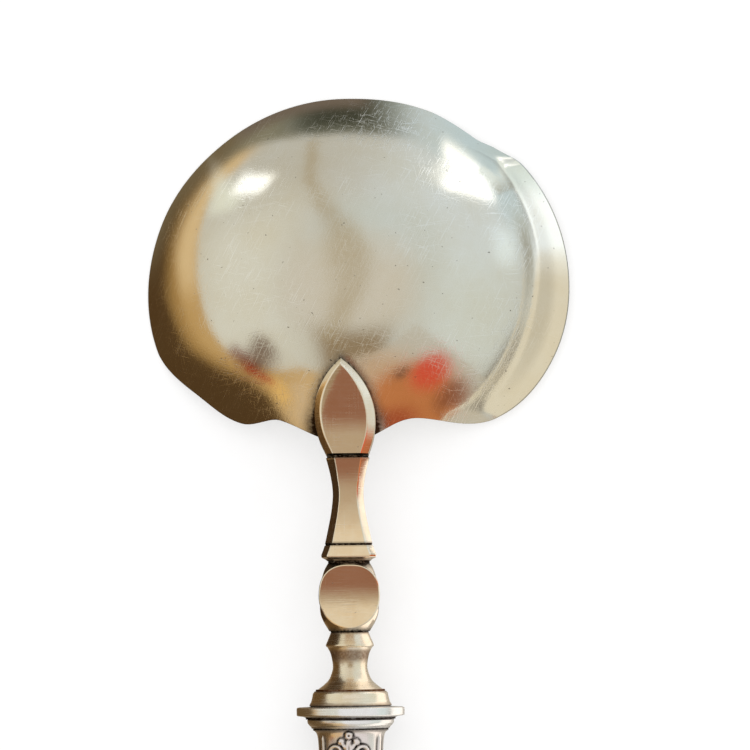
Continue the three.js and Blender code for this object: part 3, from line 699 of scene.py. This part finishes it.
# Handle: two stamped shells with a thread border, a palmette at the mouth and a plain oval at the butt
handleSizes = {
    "length": 78.45, "sheet": 0.8, "seam": 0.15, "squareness": 2.4, "fromEnd": 13.0, "buttPower": 0.8,
    "width": [(0, 6.3), (2.2, 5.4), (14, 5.5), (39.5, 7.1), (65, 8.7)],
    "depth": [(0, 6.3), (2.2, 5.4), (14, 4.7), (39.5, 5.45), (65, 6.2)], "lineSteps": 120,
    "rows": 330, "columns": 132, "rowBlend": (0.55, 0.45), "rowPower": 1.6, "buttRows": (0.9, 0.1),
    "endGap": 0.02, "innerGap": 0.9, "leastDepth": 0.85, "mostShrink": 0.97, "sharpAngle": 60,
    "vein": 0.35, "veinWidth": 0.22,
    "threadAt": 0.86, "threadWidth": 0.5, "threadHeight": 0.32, "threadFrom": (0.6, 1.6), "threadTo": (70, 74),
    "ovalAt": 61.0, "ovalHalf": (4.6, 8.2), "ovalHeight": 0.35, "ovalWidth": 0.42,
    "beadRadius": 0.36, "beadSpacing": 0.95, "beadOut": 0.95, "beadRaise": 0.05, "beadSteps": 240, "leafShift": 0.35,
    "darkeningReach": 0.45, "dirtSides": 8, "dirtGain": 7, "dirtMost": 0.95, "mouthDirt": (0.6, 0.5), "insideDirt": 0.8,
}
# Palmette leaves: across, along, half length, half width, turn in degrees, height (mm)
palmetteLeaves = [
    (0.0, 4.0, 2.6, 0.7, 0, 0.65), (1.25, 1.95, 0.65, 0.5, 30, 0.62), (0.65, 2.75, 1.1, 0.32, -35, 0.55),
    (1.25, 5.2, 2.6, 0.7, 14, 0.5), (2.35, 5.9, 2.2, 0.62, 28, 0.45), (3.2, 6.9, 1.7, 0.5, 40, 0.38),
    (0.0, 10.6, 2.0, 0.5, 0, 0.42), (0.8, 9.6, 1.6, 0.42, 18, 0.36),
]
# Palmette scrolls: across, along, radius, half width, height (mm)
palmetteScrolls = [(0.0, 0.95, 0.36, 0.32, 0.62), (2.15, 3.55, 0.85, 0.32, 0.55), (3.5, 5.4, 0.5, 0.26, 0.4),
                   (1.5, 8.4, 0.5, 0.24, 0.36)]
# Paired husks that hang down the middle from the palmette to the oval; first and last: half length, half width
huskRow = {"from": 15.5, "to": 46.0, "count": 9, "first": (1.5, 0.8), "last": (0.9, 0.5), "height": 0.36,
           "apart": 0.55, "narrow": 0.62, "turn": 16}


def handleHalf(line, along):
    size = handleSizes
    curve = splineThrough(size[line], size["lineSteps"])
    body = np.interp(np.minimum(along, size["length"] - size["fromEnd"]), curve[:, 0], curve[:, 1])
    past = np.clip((along - (size["length"] - size["fromEnd"])) / size["fromEnd"], 0, 1)
    return body * np.cos(np.arcsin(past)) ** size["buttPower"]


def reliefHeight(across, along):  # stamped relief over the shell, mm
    size = handleSizes
    height = np.zeros_like(across)
    side = np.abs(across + size["leafShift"])

    def leaf(x, a, long, wide, turn, rise):
        c, s = math.cos(math.radians(turn)), math.sin(math.radians(turn))
        p, q = (along - a) * c + (side - x) * s, (side - x) * c - (along - a) * s
        inside = np.clip(1 - (p / long) ** 2 - (q / wide) ** 2, 0, 1)
        return rise * np.sqrt(inside) * (1 - size["vein"] * np.exp(-((q / (wide * size["veinWidth"])) ** 2)))

    for row in palmetteLeaves:
        height = np.maximum(height, leaf(*row))
    for x, a, radius, wide, rise in palmetteScrolls:
        off = (np.hypot(side - x, along - a) - radius) / wide
        height = np.maximum(height, rise * np.sqrt(np.clip(1 - off**2, 0, 1)))
    husk = huskRow
    for k in range(husk["count"]):
        t = k / (husk["count"] - 1)
        long, wide = (first + (last - first) * t for first, last in zip(husk["first"], husk["last"]))
        a = husk["from"] + (husk["to"] - husk["from"]) * t
        row = (wide * husk["apart"], a, long, wide * husk["narrow"], husk["turn"], husk["height"])
        height = np.maximum(height, leaf(*row))
    wideX, wideA = size["ovalHalf"]
    scale = np.hypot(across / wideX, (along - size["ovalAt"]) / wideA)
    off = (scale - 1) * min(wideX, wideA) / size["ovalWidth"]
    height = np.maximum(height, size["ovalHeight"] * np.sqrt(np.clip(1 - off**2, 0, 1)))
    thread = size["threadAt"] * handleHalf("width", along)
    off = (np.abs(across) - thread) / (size["threadWidth"] * 0.5)
    border = size["threadHeight"] * np.sqrt(np.clip(1 - off**2, 0, 1))
    ends = smoothStep(*size["threadFrom"], along) * (1 - smoothStep(*size["threadTo"], along))
    return np.maximum(height, border * ends)


def shellPoint(along, turn, side, raised):  # point on the handle's skin, raised by the relief
    size = handleSizes
    power = 2 / size["squareness"]
    wide, deep = handleHalf("width", along), handleHalf("depth", along)
    c, s = np.cos(turn), np.sin(turn)
    x = wide * np.sign(c) * np.abs(c) ** power
    z = deep * np.abs(s) ** power
    nx, nz = x / np.maximum(wide, 0.01) ** 2, z / np.maximum(deep, 0.01) ** 2
    length = np.maximum(np.hypot(nx, nz), 1e-6)
    x, z = x + nx / length * raised, z + nz / length * raised
    return np.stack([x, along, side * np.maximum(z, size["seam"])], -1)


def makeShell(name, node, side):
    size = handleSizes
    rise = np.linspace(0, 1, size["rows"])
    (even, packed), (buttFrom, buttRun) = size["rowBlend"], size["buttRows"]
    end = size["length"] - size["endGap"]
    along = end * (rise * even + packed * rise ** size["rowPower"])
    along = np.where(rise > buttFrom, end - (end - along) * (1 - rise) / buttRun, along)
    turns = np.linspace(0.0, math.pi, size["columns"])
    grid, turn = np.meshgrid(along, turns, indexing="ij")
    bare = shellPoint(grid, turn, side, 0 * grid)
    relief = reliefHeight(bare[..., 0], grid)
    outer = shellPoint(grid, turn, side, relief)
    reach, sides = size["darkeningReach"], size["dirtSides"]
    near = sum(reliefHeight(bare[..., 0] + reach * math.cos(k), grid + reach * math.sin(k))
               for k in np.arange(sides) * 2 * math.pi / sides) / sides
    dark = np.clip((near - relief) * size["dirtGain"], 0, size["dirtMost"])  # dirt stays beside the relief
    mouth, mouthReach = size["mouthDirt"]
    dark = np.maximum(dark, mouth * (1 - smoothStep(0, mouthReach, grid)))
    inner = shellPoint(np.minimum(grid, size["length"] - size["innerGap"]), turn, side, 0 * grid)
    middle = side * size["seam"]
    shrink = size["sheet"] / np.maximum(handleHalf("depth", grid), size["leastDepth"])
    shrink = 1 - np.minimum(shrink, size["mostShrink"])
    inner[..., 0] = inner[..., 0] * shrink
    inner[..., 2] = middle + (inner[..., 2] - middle) * shrink
    rings = np.concatenate([outer, inner[:, ::-1]], axis=1)
    around = rings.shape[1]
    faces = gridFaces(size["rows"], around)
    base = (size["rows"] - 1) * around
    for a in range(size["columns"] - 1):  # closes the mouth and the butt between the outside and the inside
        b = around - 1 - a
        faces.append((a, a + 1, b - 1, b))
        faces.append((base + b, base + b - 1, base + a + 1, base + a))
    patinaAndShade = np.concatenate([dark, np.full_like(dark, size["insideDirt"])], axis=1).reshape(-1)
    points = rings.reshape(-1, 3) + (0, stemStart["handle"], 0)
    makePiece(name, onStem(points), faces, stampedSilver, "handle_silver", [node], patinaAndShade, size["sharpAngle"])


makeShell("handle_front_stamping", "handle_front_shell", 1)
makeShell("handle_back_stamping", "handle_back_shell", -1)
print("handle stampings made")


def beadTree(material):  # a row of half-sunk beads along an edge loop
    tree = bpy.data.node_groups.new("beadRow", "GeometryNodeTree")
    tree.interface.new_socket("Geometry", in_out="INPUT", socket_type="NodeSocketGeometry")
    spacing = tree.interface.new_socket("Bead Spacing", in_out="INPUT", socket_type="NodeSocketFloat")
    radius = tree.interface.new_socket("Bead Radius", in_out="INPUT", socket_type="NodeSocketFloat")
    tree.interface.new_socket("Geometry", in_out="OUTPUT", socket_type="NodeSocketGeometry")
    given = addNode(tree, "NodeGroupInput")
    path = addNode(tree, "GeometryNodeMeshToCurve", {"Mesh": given.outputs["Geometry"]})
    dots = addNode(tree, "GeometryNodeResampleCurve", {
        "Curve": path, "Length": given.outputs["Bead Spacing"]}, mode="LENGTH")
    bead = addNode(tree, "GeometryNodeMeshIcoSphere", {"Radius": given.outputs["Bead Radius"], "Subdivisions": 2})
    beads = addNode(tree, "GeometryNodeInstanceOnPoints", {"Points": dots, "Instance": bead})
    solid = addNode(tree, "GeometryNodeRealizeInstances", {"Geometry": beads})
    smooth = addNode(tree, "GeometryNodeSetShadeSmooth", {"Geometry": solid})
    painted = addNode(tree, "GeometryNodeSetMaterial", {"Geometry": smooth, "Material": material})
    addNode(tree, "NodeGroupOutput", {"Geometry": painted})
    return tree, spacing.identifier, radius.identifier


def makeBeads(name, side, tree, spacingId, radiusId):
    size = handleSizes
    wideX, wideA = (half + size["beadOut"] for half in size["ovalHalf"])
    turns = np.linspace(0, 2 * math.pi, size["beadSteps"], endpoint=False)
    x, along = wideX * np.cos(turns), size["ovalAt"] + wideA * np.sin(turns)
    half = handleHalf("width", along)
    share = np.clip(x / half, -1, 1)
    angle = np.arccos(np.sign(share) * np.abs(share) ** (size["squareness"] / 2))
    spots = shellPoint(along, angle, side, size["beadRaise"] + 0 * x)
    spots[:, 1] += stemStart["handle"]
    line = bpy.data.meshes.new(name)
    count = len(spots)
    line.from_pydata(onStem(spots).tolist(), [(i, (i + 1) % count) for i in range(count)], [])
    row = addObject(name, line)
    beads = row.modifiers.new("beads", "NODES")
    beads.node_group = tree
    beads[spacingId] = size["beadSpacing"] * mm
    beads[radiusId] = size["beadRadius"] * mm
    graph = bpy.context.evaluated_depsgraph_get()
    finished = bpy.data.meshes.new_from_object(row.evaluated_get(graph), depsgraph=graph)
    row.modifiers.clear()
    row.data = finished
    seatPiece(row, ())


beadRow = beadTree(stampedSilver)
makeBeads("oval_beads_front", 1, *beadRow)
makeBeads("oval_beads_back", -1, *beadRow)
print("bead rows made")


# Inner pieces that stay as the solids are
def innerMaterial(name, look):
    # Cast filling cement is dull and sandy; a forged tang is dark grey with file lines.
    material = bpy.data.materials.new(name)
    tree = emptyTree(material)
    place = addNode(tree, "ShaderNodeTexCoord").outputs["Object"]
    turned = addNode(tree, "ShaderNodeMapping", {
        "Vector": place, "Scale": tuple(s * mm for s in look["grain"])}, vector_type="TEXTURE")
    grain = addNode(tree, "ShaderNodeTexNoise", {"Vector": turned, "Scale": 1.0, "Detail": 5.0, "Roughness": 0.65})
    colour = addNode(tree, "ShaderNodeMix", {
        "Factor": grain, "A": hexColour(look["dark"]), "B": hexColour(look["light"])}, data_type="RGBA")
    rough = addNode(tree, "ShaderNodeMapRange", {
        "Value": grain, "To Min": look["rough"][0], "To Max": look["rough"][1]})
    bump = addNode(tree, "ShaderNodeBump", {"Height": grain, "Strength": 0.4, "Distance": look["bumpDepth"] * mm})
    shader = addNode(tree, "ShaderNodeBsdfPrincipled", {
        "Base Color": colour, "Metallic": look["metallic"], "Roughness": rough, "Normal": bump})
    addNode(tree, "ShaderNodeOutputMaterial", {"Surface": shader})
    return material


innerLooks = {
    "cement_filling": ("fillingCement", {"grain": (0.6, 0.6, 0.6), "dark": "#4a3526", "light": "#71563f",
                                         "rough": (0.8, 0.95), "metallic": 0.0, "bumpDepth": 0.05}),
    "tang": ("forgedSteel", {"grain": (0.15, 6.0, 0.15), "dark": "#4d4945", "light": "#7d7872",
                             "rough": (0.4, 0.6), "metallic": 1.0, "bumpDepth": 0.05}),
}
for node, (name, look) in innerLooks.items():
    slots = frame["nodes"][node].data.materials
    slots.clear()
    slots.append(innerMaterial(name, look))
print("inner pieces finished")

# Stage: pale floor, soft light, and a light tent with toned cards that only the silver mirrors
stageSizes = {"floorHalf": 1.5, "floorDrop": 0.0004, "floorColour": "#f7f6f4", "fibreColour": "#fbfbfa", "fibre": 0.003,
              "whiteShare": 0.55, "skyColour": "#fdfdff", "skyStrength": 0.95, "lampPlace": (-0.06, 0.02, 0.9),
              "lampSize": 1.0, "lampPower": 3.0}  # lengths in m


def seenRays(tree):  # 1 on the rays that show the white ground: camera, mirror and glass
    path = addNode(tree, "ShaderNodeLightPath").outputs
    seen = path["Is Camera Ray"]
    for ray in ("Is Glossy Ray", "Is Transmission Ray"):
        seen = addNode(tree, "ShaderNodeMath", {0: seen, 1: path[ray]}, operation="MAXIMUM")
    return seen


def makeFloor():
    # Matt drawing paper with a faint fibre, nearly white where it is seen
    size, half = stageSizes, stageSizes["floorHalf"]
    material = bpy.data.materials.new("paperFloor")
    tree = emptyTree(material)
    place = addNode(tree, "ShaderNodeTexCoord").outputs["Object"]
    fibre = addNode(tree, "ShaderNodeTexNoise", {"Vector": place, "Scale": 1 / size["fibre"], "Detail": 3.0})
    shade = addNode(tree, "ShaderNodeMix", {
        "Factor": fibre, "A": hexColour(size["floorColour"]), "B": hexColour(size["fibreColour"])}, data_type="RGBA")
    paper = addNode(tree, "ShaderNodeBsdfPrincipled", {
        "Base Color": shade, "Roughness": 0.9, "Specular IOR Level": 0.1})
    seen = addNode(tree, "ShaderNodeMath", {0: seenRays(tree), 1: size["whiteShare"]}, operation="MULTIPLY")
    white = addNode(tree, "ShaderNodeEmission", {"Color": hexColour("#ffffff"), "Strength": 1.0})
    lit = addNode(tree, "ShaderNodeMixShader", {"Fac": seen, 1: paper, 2: white})
    addNode(tree, "ShaderNodeOutputMaterial", {"Surface": lit})
    mesh = bpy.data.meshes.new("floor")
    corners = [(x, y, -size["floorDrop"]) for x, y in ((-half, -half), (half, -half), (half, half), (-half, half))]
    mesh.from_pydata(corners, [], [(0, 1, 2, 3)])
    mesh.materials.append(material)
    floor = addObject("floor", mesh)


def makeWorld():
    world = bpy.data.worlds.new("studio")
    bpy.context.scene.world = world
    tree = emptyTree(world)
    light = addNode(tree, "ShaderNodeBackground", {
        "Color": hexColour(stageSizes["skyColour"]), "Strength": stageSizes["skyStrength"]})
    white = addNode(tree, "ShaderNodeBackground", {"Color": hexColour("#ffffff"), "Strength": 1.0})
    sky = addNode(tree, "ShaderNodeMixShader", {"Fac": seenRays(tree), 1: light, 2: white})
    addNode(tree, "ShaderNodeOutputWorld", {"Surface": sky})


def makeLamp():
    size = stageSizes
    data = bpy.data.lights.new("softbox", "AREA")
    data.size = size["lampSize"]
    data.energy = size["lampPower"]
    lamp = addObject("softbox", data)
    lamp.location = size["lampPlace"]
    lamp.rotation_euler = (-Vector(size["lampPlace"])).to_track_quat("-Z", "Y").to_euler()
    lamp.visible_glossy = False


makeFloor()
makeWorld()
makeLamp()

# Light tent, mirrored by the silver only. Directions are degrees as the bowl's middle sees them: azimuth
# anticlockwise from +X, polar from straight up. On the mirror-ball map a direction lies polar degrees from the
# middle, so right and up there are right and up on the bowl.
tentSizes = {"eye": 10.0, "floorRings": (16, 40, 90, 172), "wallRadius": 220.0, "height": 165.0, "lift": 0.25,
             "foot": (0.93, 6.0),  # share of the wall's radius, mm up; then shares of radius and height
             "wall": [(1, 0.22), (0.97, 0.55), (0.82, 0.82), (0.5, 0.96)], "topRing": 0.5,
             "sides": 300, "rows": 170, "base": "#c9c8bf", "bandEnds": 3, "bandLead": 60}
# Soft cards on the map: right, up, half width, half height, turn, softness, colour, strength
tentCards = [
    (-53, -5, 36, 50, 0, 28, "#e0dfd2", 1.0),
    (62, 0, 38, 60, 0, 34, "#dae1dc", 1.0),
    (56, 54, 38, 42, 0, 30, "#dce5e8", 1.0),
    (16, 18, 22, 16, 0, 14, "#d2dad8", 1.0),
    (0, -5, 24, 16, 0, 12, "#d7d2c5", 1.0),
    (2, -36, 15, 15.5, 0, 6.0, "#988569", 1.0),
]
# Bands: colour, softness, polar angle where it ends, then the polar angle where it starts, by azimuth
tentBands = [
    ("#c9a56b", 2.0, 180, [(128, 102), (146, 99.5), (165, 88.5), (180, 81.5), (200, 77), (215, 73), (230, 62),
                           (240, 50), (262, 46)]),
    ("#e2c696", 3.0, 180, [(126, 101), (146, 99), (165, 89.5), (178, 84)]),
    ("#a8854f", 4.0, 180, [(146, 104.5), (168, 101), (180, 95), (200, 88), (215, 80), (226, 72)]),
    ("#d8b98a", 3.0, 180, [(240, 52), (264, 47)]),
    ("#8d8975", 2.2, 180, [(108, 98), (114, 101), (124, 103.4), (132, 104.4), (140, 104.6)]),
    ("#543e24", 3.2, 180, [(136, 105), (155, 104.5), (170, 103), (185, 100.5), (200, 94), (215, 84), (226, 76),
                           (234, 75.5), (240, 81), (252, 90), (266, 92)]),
    ("#8f968f", 3.5, 180, [(68, 98), (80, 97)]),
    ("#6a6c5f", 3.0, 180, [(76, 96), (100, 97), (112, 102)]),
    ("#45473c", 3.0, 180, [(80, 101), (105, 101)]),
    ("#77694f", 3.0, 180, [(124, 106), (150, 105.5), (180, 106)]),
    ("#766a5e", 1.6, 180, [(82, 107), (128, 107)]),
    ("#c8dbe2", 6.0, 180, [(18, 93), (40, 93), (62, 94)]),
    ("#b3aca0", 3.0, 180, [(272, 95), (300, 95)]),
    ("#cfc8b6", 3.0, 180, [(304, 93), (334, 93)]),
    ("#8f897e", 2.0, 98, [(312, 87), (330, 89.5), (344, 92)]),
    ("#a3a297", 3.0, 180, [(340, 96), (376, 97)]),
]
# Ribbons on the same map: points along it, half width, softness, colour, share
tentRibbons = [([(-20, 90), (-20, 56), (-11.5, 33.6), (-3.2, 18.8), (0.7, 7.8), (1.4, 2.5), (1, -3.5), (-1.9, -11.6),
                 (-7.4, -23.5)], 3.4, 2.6, "#b09f7c", 0.6),
               ([(-28, -57), (-26, -72)], 4.0, 3.6, "#d9c4a6", 0.6),
               ([(-39.3, -55.5), (-38, -61)], 3.4, 4.0, "#f4c878", 0.95),
               ([(-41, -36.5), (-44.5, -42), (-49, -46)], 5.6, 3.8, "#65452f", 0.85),
               ([(-58, -40), (-50, -47)], 3.6, 3.0, "#7a3f2a", 0.8),
               ([(-52, -48.5), (-47, -51.5), (-43, -53)], 2.0, 1.8, "#ae3c24", 0.85)]
# Lamps on the same map
tentLamps = [
    (-70, 58, 10, 9, 0, 6.0, "#e8ecdf", 1.05),
    (-54, 64, 10, 6, -23, 4.0, "#fbffff", 1.75),
    (84, 21, 6, 10, 0, 6.0, "#e4f2f8", 1.15),
]
# Window panes on the same map: corners anticlockwise, softness, colour, strength
tentPanes = [([(44, 60), (51, 51), (62, 49.6), (81, 48.5), (77.5, 62.5), (72.6, 72.3), (67, 78), (58, 85.2), (49, 74)],
              3.6, "#fafeff", 1.7)]


def tentTone(azimuth, polar):
    size = tentSizes
    tone = np.ones(azimuth.shape + (3,)) * sheetTone(size["base"])
    u, v = polar * np.cos(np.radians(azimuth)), polar * np.sin(np.radians(azimuth))

    def lay(mask, colour, strength=1.0):
        return tone + (sheetTone(colour, strength) - tone) * mask[..., None]

    def cardMask(right, up, wide, tall, turn, soft):
        c, s = math.cos(math.radians(turn)), math.sin(math.radians(turn))
        p, q = (u - right) * c + (v - up) * s, (v - up) * c - (u - right) * s
        inWidth = 1 - smoothStep(wide - soft, wide + soft, np.abs(p))
        return inWidth * (1 - smoothStep(tall - soft, tall + soft, np.abs(q)))

    for *place, colour, strength in tentCards:
        tone = lay(cardMask(*place), colour, strength)
    for colour, soft, end, stations in tentBands:
        around, starts = zip(*stations)
        turned = np.mod(azimuth - around[0] + size["bandLead"], 360) + around[0] - size["bandLead"]
        start, fade = np.interp(turned, around, starts), soft * size["bandEnds"]
        ends = smoothStep(around[0] - fade, around[0] + fade, turned)
        ends = ends * (1 - smoothStep(around[-1] - fade, around[-1] + fade, turned))
        ends = ends * (1 - smoothStep(end - soft, end + soft, polar))
        tone = lay(ends * smoothStep(start - soft, start + soft, polar), colour)
    for line, half, soft, colour, share in tentRibbons:
        away = np.full(u.shape, np.inf)
        for (au, av), (bu, bv) in zip(line, line[1:]):
            run = ((u - au) * (bu - au) + (v - av) * (bv - av)) / ((bu - au) ** 2 + (bv - av) ** 2)
            run = np.clip(run, 0, 1)
            away = np.minimum(away, np.hypot(u - au - run * (bu - au), v - av - run * (bv - av)))
        tone = lay(share * (1 - smoothStep(half - soft, half + soft, away)), colour)
    for *place, colour, strength in tentLamps:
        tone = lay(cardMask(*place), colour, strength)
    for corners, soft, colour, strength in tentPanes:
        mask = np.ones_like(u)
        for (au, av), (bu, bv) in zip(corners, corners[1:] + corners[:1]):
            inward = ((bu - au) * (v - av) - (bv - av) * (u - au)) / math.hypot(bu - au, bv - av)
            mask = mask * smoothStep(-soft, soft, inward)
        tone = lay(mask, colour, strength)
    return tone


def glowSheet(name, points, faces, tones):  # a sheet lit on its front, that only mirrors can see
    mesh = bpy.data.meshes.new(name)
    mesh.from_pydata(np.asarray(points, float).tolist(), [], faces)
    mesh.shade_smooth()
    layer = mesh.color_attributes.new("tone", "FLOAT_COLOR", "POINT")
    full = np.concatenate([tones, np.ones((len(tones), 1))], axis=1)
    layer.data.foreach_set("color", full.astype(np.float32).ravel())
    material = bpy.data.materials.new(name + "Cloth")
    tree = emptyTree(material)
    tone = addNode(tree, "ShaderNodeAttribute", attribute_name="tone").outputs["Color"]
    glow = addNode(tree, "ShaderNodeEmission", {"Color": tone, "Strength": 1.0})
    behind = addNode(tree, "ShaderNodeNewGeometry").outputs["Backfacing"]
    clear = addNode(tree, "ShaderNodeBsdfTransparent")
    face = addNode(tree, "ShaderNodeMixShader", {"Fac": behind, 1: glow, 2: clear})
    addNode(tree, "ShaderNodeOutputMaterial", {"Surface": face})
    mesh.materials.append(material)
    sheet = addObject(name, mesh)
    for ray in ("camera", "diffuse", "transmission", "volume_scatter", "shadow"):
        setattr(sheet, "visible_" + ray, False)


def makeTent():
    size = tentSizes
    wall, top, low = size["wallRadius"], size["height"], size["lift"]
    footShare, footHeight = size["foot"]
    outline = [(ring, low) for ring in size["floorRings"]] + [(wall * footShare, footHeight)]
    outline += [(wall * across, top * up) for across, up in size["wall"]] + [(size["topRing"], top)]
    line = splineThrough(outline, size["rows"])
    turns = np.linspace(0, 2 * math.pi, size["sides"], endpoint=False)
    radius, turn = np.meshgrid(line[:, 0], turns, indexing="ij")
    height = np.repeat(np.maximum(line[:, 1], low)[:, None], len(turns), axis=1)
    points = np.stack([radius * np.cos(turn), radius * np.sin(turn), height], -1).reshape(-1, 3)
    polar = np.degrees(np.arctan2(radius, height - size["eye"]))
    tones = tentTone(np.degrees(turn), polar).reshape(-1, 3)
    glowSheet("lightTent", onBowl(points), gridFaces(len(line), len(turns)), tones)


cardTones = {"brown": "#8f6650", "tan": "#b4a48c", "cream": "#dfd6c0"}
# Card over the stem, mm from the bowl's centre: y, half width, tone
topCard = [(-19.3, 0.5, "brown"), (-22.0, 2.0, "brown"), (-25.0, 3.5, "brown"), (-27.8, 4.4, "brown"),
           (-30.4, 4.6, "tan"), (-33.5, 4.6, "tan"), (-35.0, 4.6, "brown"), (-38.0, 4.6, "brown"),
           (-39.8, 4.6, "tan"), (-44.0, 4.6, "cream"), (-50.0, 4.6, "cream"), (-52.0, 4.6, "brown"),
           (-55.4, 4.6, "brown"), (-57.1, 4.6, "tan"), (-58.4, 4.6, "cream"), (-62.0, 4.6, "cream")]
# Upright card beside the lip's upper root: azimuth in degrees, tone
rootCard = {"radius": 46.0, "heights": (0.5, 4.6), "strength": 1.1,
            "stations": [(41.0, "#e6f0ee"), (34.0, "#e6f0ee"), (28.0, "#a9aca4")]}


def upright(x, y, foot, top, tone, strength=1.0):  # one station of a standing card
    return (x, y, foot), (x, y, top), tone, strength


def level(y, right, left, tone, strength=1.0, height=20):  # one station of a card over the stem or the handle
    return (right, y, height), (left, y, height), tone, strength


def onRing(radius, azimuth):
    return radius * math.cos(math.radians(azimuth)), radius * math.sin(math.radians(azimuth))


nearCards = {
    "leftCard": [upright(-13.5, -138, 1, 16, "#75603f"), upright(-13.5, -64, 1, 16, "#5c4629"),
                 upright(-7.5, -62, 1, 16, "#3c2c1a"), upright(-7.5, -35, 2, 16, "#3c2c1a")],
    "rightCard": [upright(7.5, -35, 6, 13, "#fff8ee", 1.2), upright(7.5, -62, 6, 13.5, "#fff8ee", 1.2),
                  upright(13.5, -64, 4, 14, "#fff8ee", 1.2), upright(13.5, -138, 4, 15, "#fff8ee", 1.2)],
    "topCard": [level(y, half, -half, cardTones[tone]) for y, half, tone in topCard],
    "mouthCard": [level(-71.5, 10, -3, "#f0f2f2", 0.92), level(-90, 10, -3, "#ece6e4", 0.92)],
    "rootCard": [upright(*onRing(rootCard["radius"], azimuth), *rootCard["heights"], tone, rootCard["strength"])
                 for azimuth, tone in rootCard["stations"]],
}
# Warm card below the bowl on the right, on an upright ring round it, glowing for the silver to mirror. Coloured patches
# of its glow: azimuth, height, half width in degrees, half height, softness, colour, share
warmCard = {"radius": 55.0, "azimuths": (322.0, 275.0), "top": 78.0, "sides": 80, "rows": 60, "strength": 1.12,
            "base": "#c9c5b8", "foot": [(275, 18), (284, 6), (304, 1), (309, 5), (312, 6.5), (322, 6.5)],
            "glowPatches": [(288, 50, 15, 26, 0.7, "#c3a07c", 0.8), (296, 22, 19, 25, 0.35, "#bd7848", 1.0),
                       (309.5, 30, 8.5, 9.5, 0.5, "#d04a36", 0.9), (298.5, 41, 4, 4.5, 0.6, "#5f463a", 0.7),
                       (287, 15, 9, 7, 0.6, "#963a22", 0.75), (310, 12.5, 6.5, 5.5, 0.6, "#7a4630", 0.75)]}
# Card over the lip: radii with their heights and shade, then azimuth, colour and strength under it
lipCard = {"radii": [(37.0, 6.5, 0.8), (38.7, 6.35, 0.8), (39.6, 6.25, 0.86), (40.8, 6.15, 1.0), (55.0, 4.84, 1.0)],
           "shaded": (-50, -18), "sides": 60,  # degrees over which the shade comes in; steps along the card
           "stops": [(-70, "#dcd6c3", 1.15), (-24, "#e2dbc6", 1.08), (-3, "#e4decb", 1.05), (3, "#f0f2ec", 1.15),
                     (7, "#eef8ff", 1.42), (20, "#eef8ff", 1.45), (28, "#dfeceb", 1.15), (38, "#dfeceb", 1.0)]}


def makeNearCard(name, stations):
    points, tones = [], []
    for first, second, colour, strength in stations:
        for corner in (first, second):
            points.append(corner)
            tones.append(sheetTone(colour, strength))
    glowSheet(name, onBowl(points), gridFaces(len(stations), 2, closed=False), np.array(tones))


def makeWarmCard():
    size = warmCard
    azimuth, row = np.meshgrid(np.linspace(*size["azimuths"], size["sides"]), np.linspace(0, 1, size["rows"]),
                               indexing="ij")
    foot = np.interp(azimuth, *zip(*size["foot"]))
    height, turn = foot + (size["top"] - foot) * row, np.radians(azimuth)
    tone = np.ones(azimuth.shape + (3,)) * sheetTone(size["base"])
    for middle, level, wide, tall, soft, colour, share in size["glowPatches"]:
        away = np.hypot((azimuth - middle) / wide, (height - level) / tall)
        mask = share * (1 - smoothStep(1 - soft, 1 + soft, away))[..., None]
        tone = tone + (sheetTone(colour, size["strength"]) - tone) * mask
    points = np.stack([size["radius"] * np.cos(turn), size["radius"] * np.sin(turn), height], -1).reshape(-1, 3)
    glowSheet("warmCard", onBowl(points), gridFaces(size["sides"], size["rows"], closed=False), tone.reshape(-1, 3))


def makeLipCard():
    size = lipCard
    stops = [stop[0] for stop in size["stops"]]
    colours = np.array([sheetTone(colour, strength) for _, colour, strength in size["stops"]])
    points, tones = [], []
    azimuths = np.linspace(stops[0], stops[-1], size["sides"])
    for azimuth in azimuths:
        tone = np.array([np.interp(azimuth, stops, colours[:, i]) for i in range(3)])
        for radius, height, shade in size["radii"]:
            points.append((*onRing(radius, azimuth), height))
            tones.append(tone * (1 - (1 - shade) * smoothStep(*size["shaded"], azimuth)))
    glowSheet("lipCard", onBowl(points), gridFaces(len(azimuths), len(size["radii"]), closed=False), np.array(tones))


makeTent()
for name, stations in nearCards.items():
    makeNearCard(name, stations)
makeWarmCard()
makeLipCard()
print("stage lit")
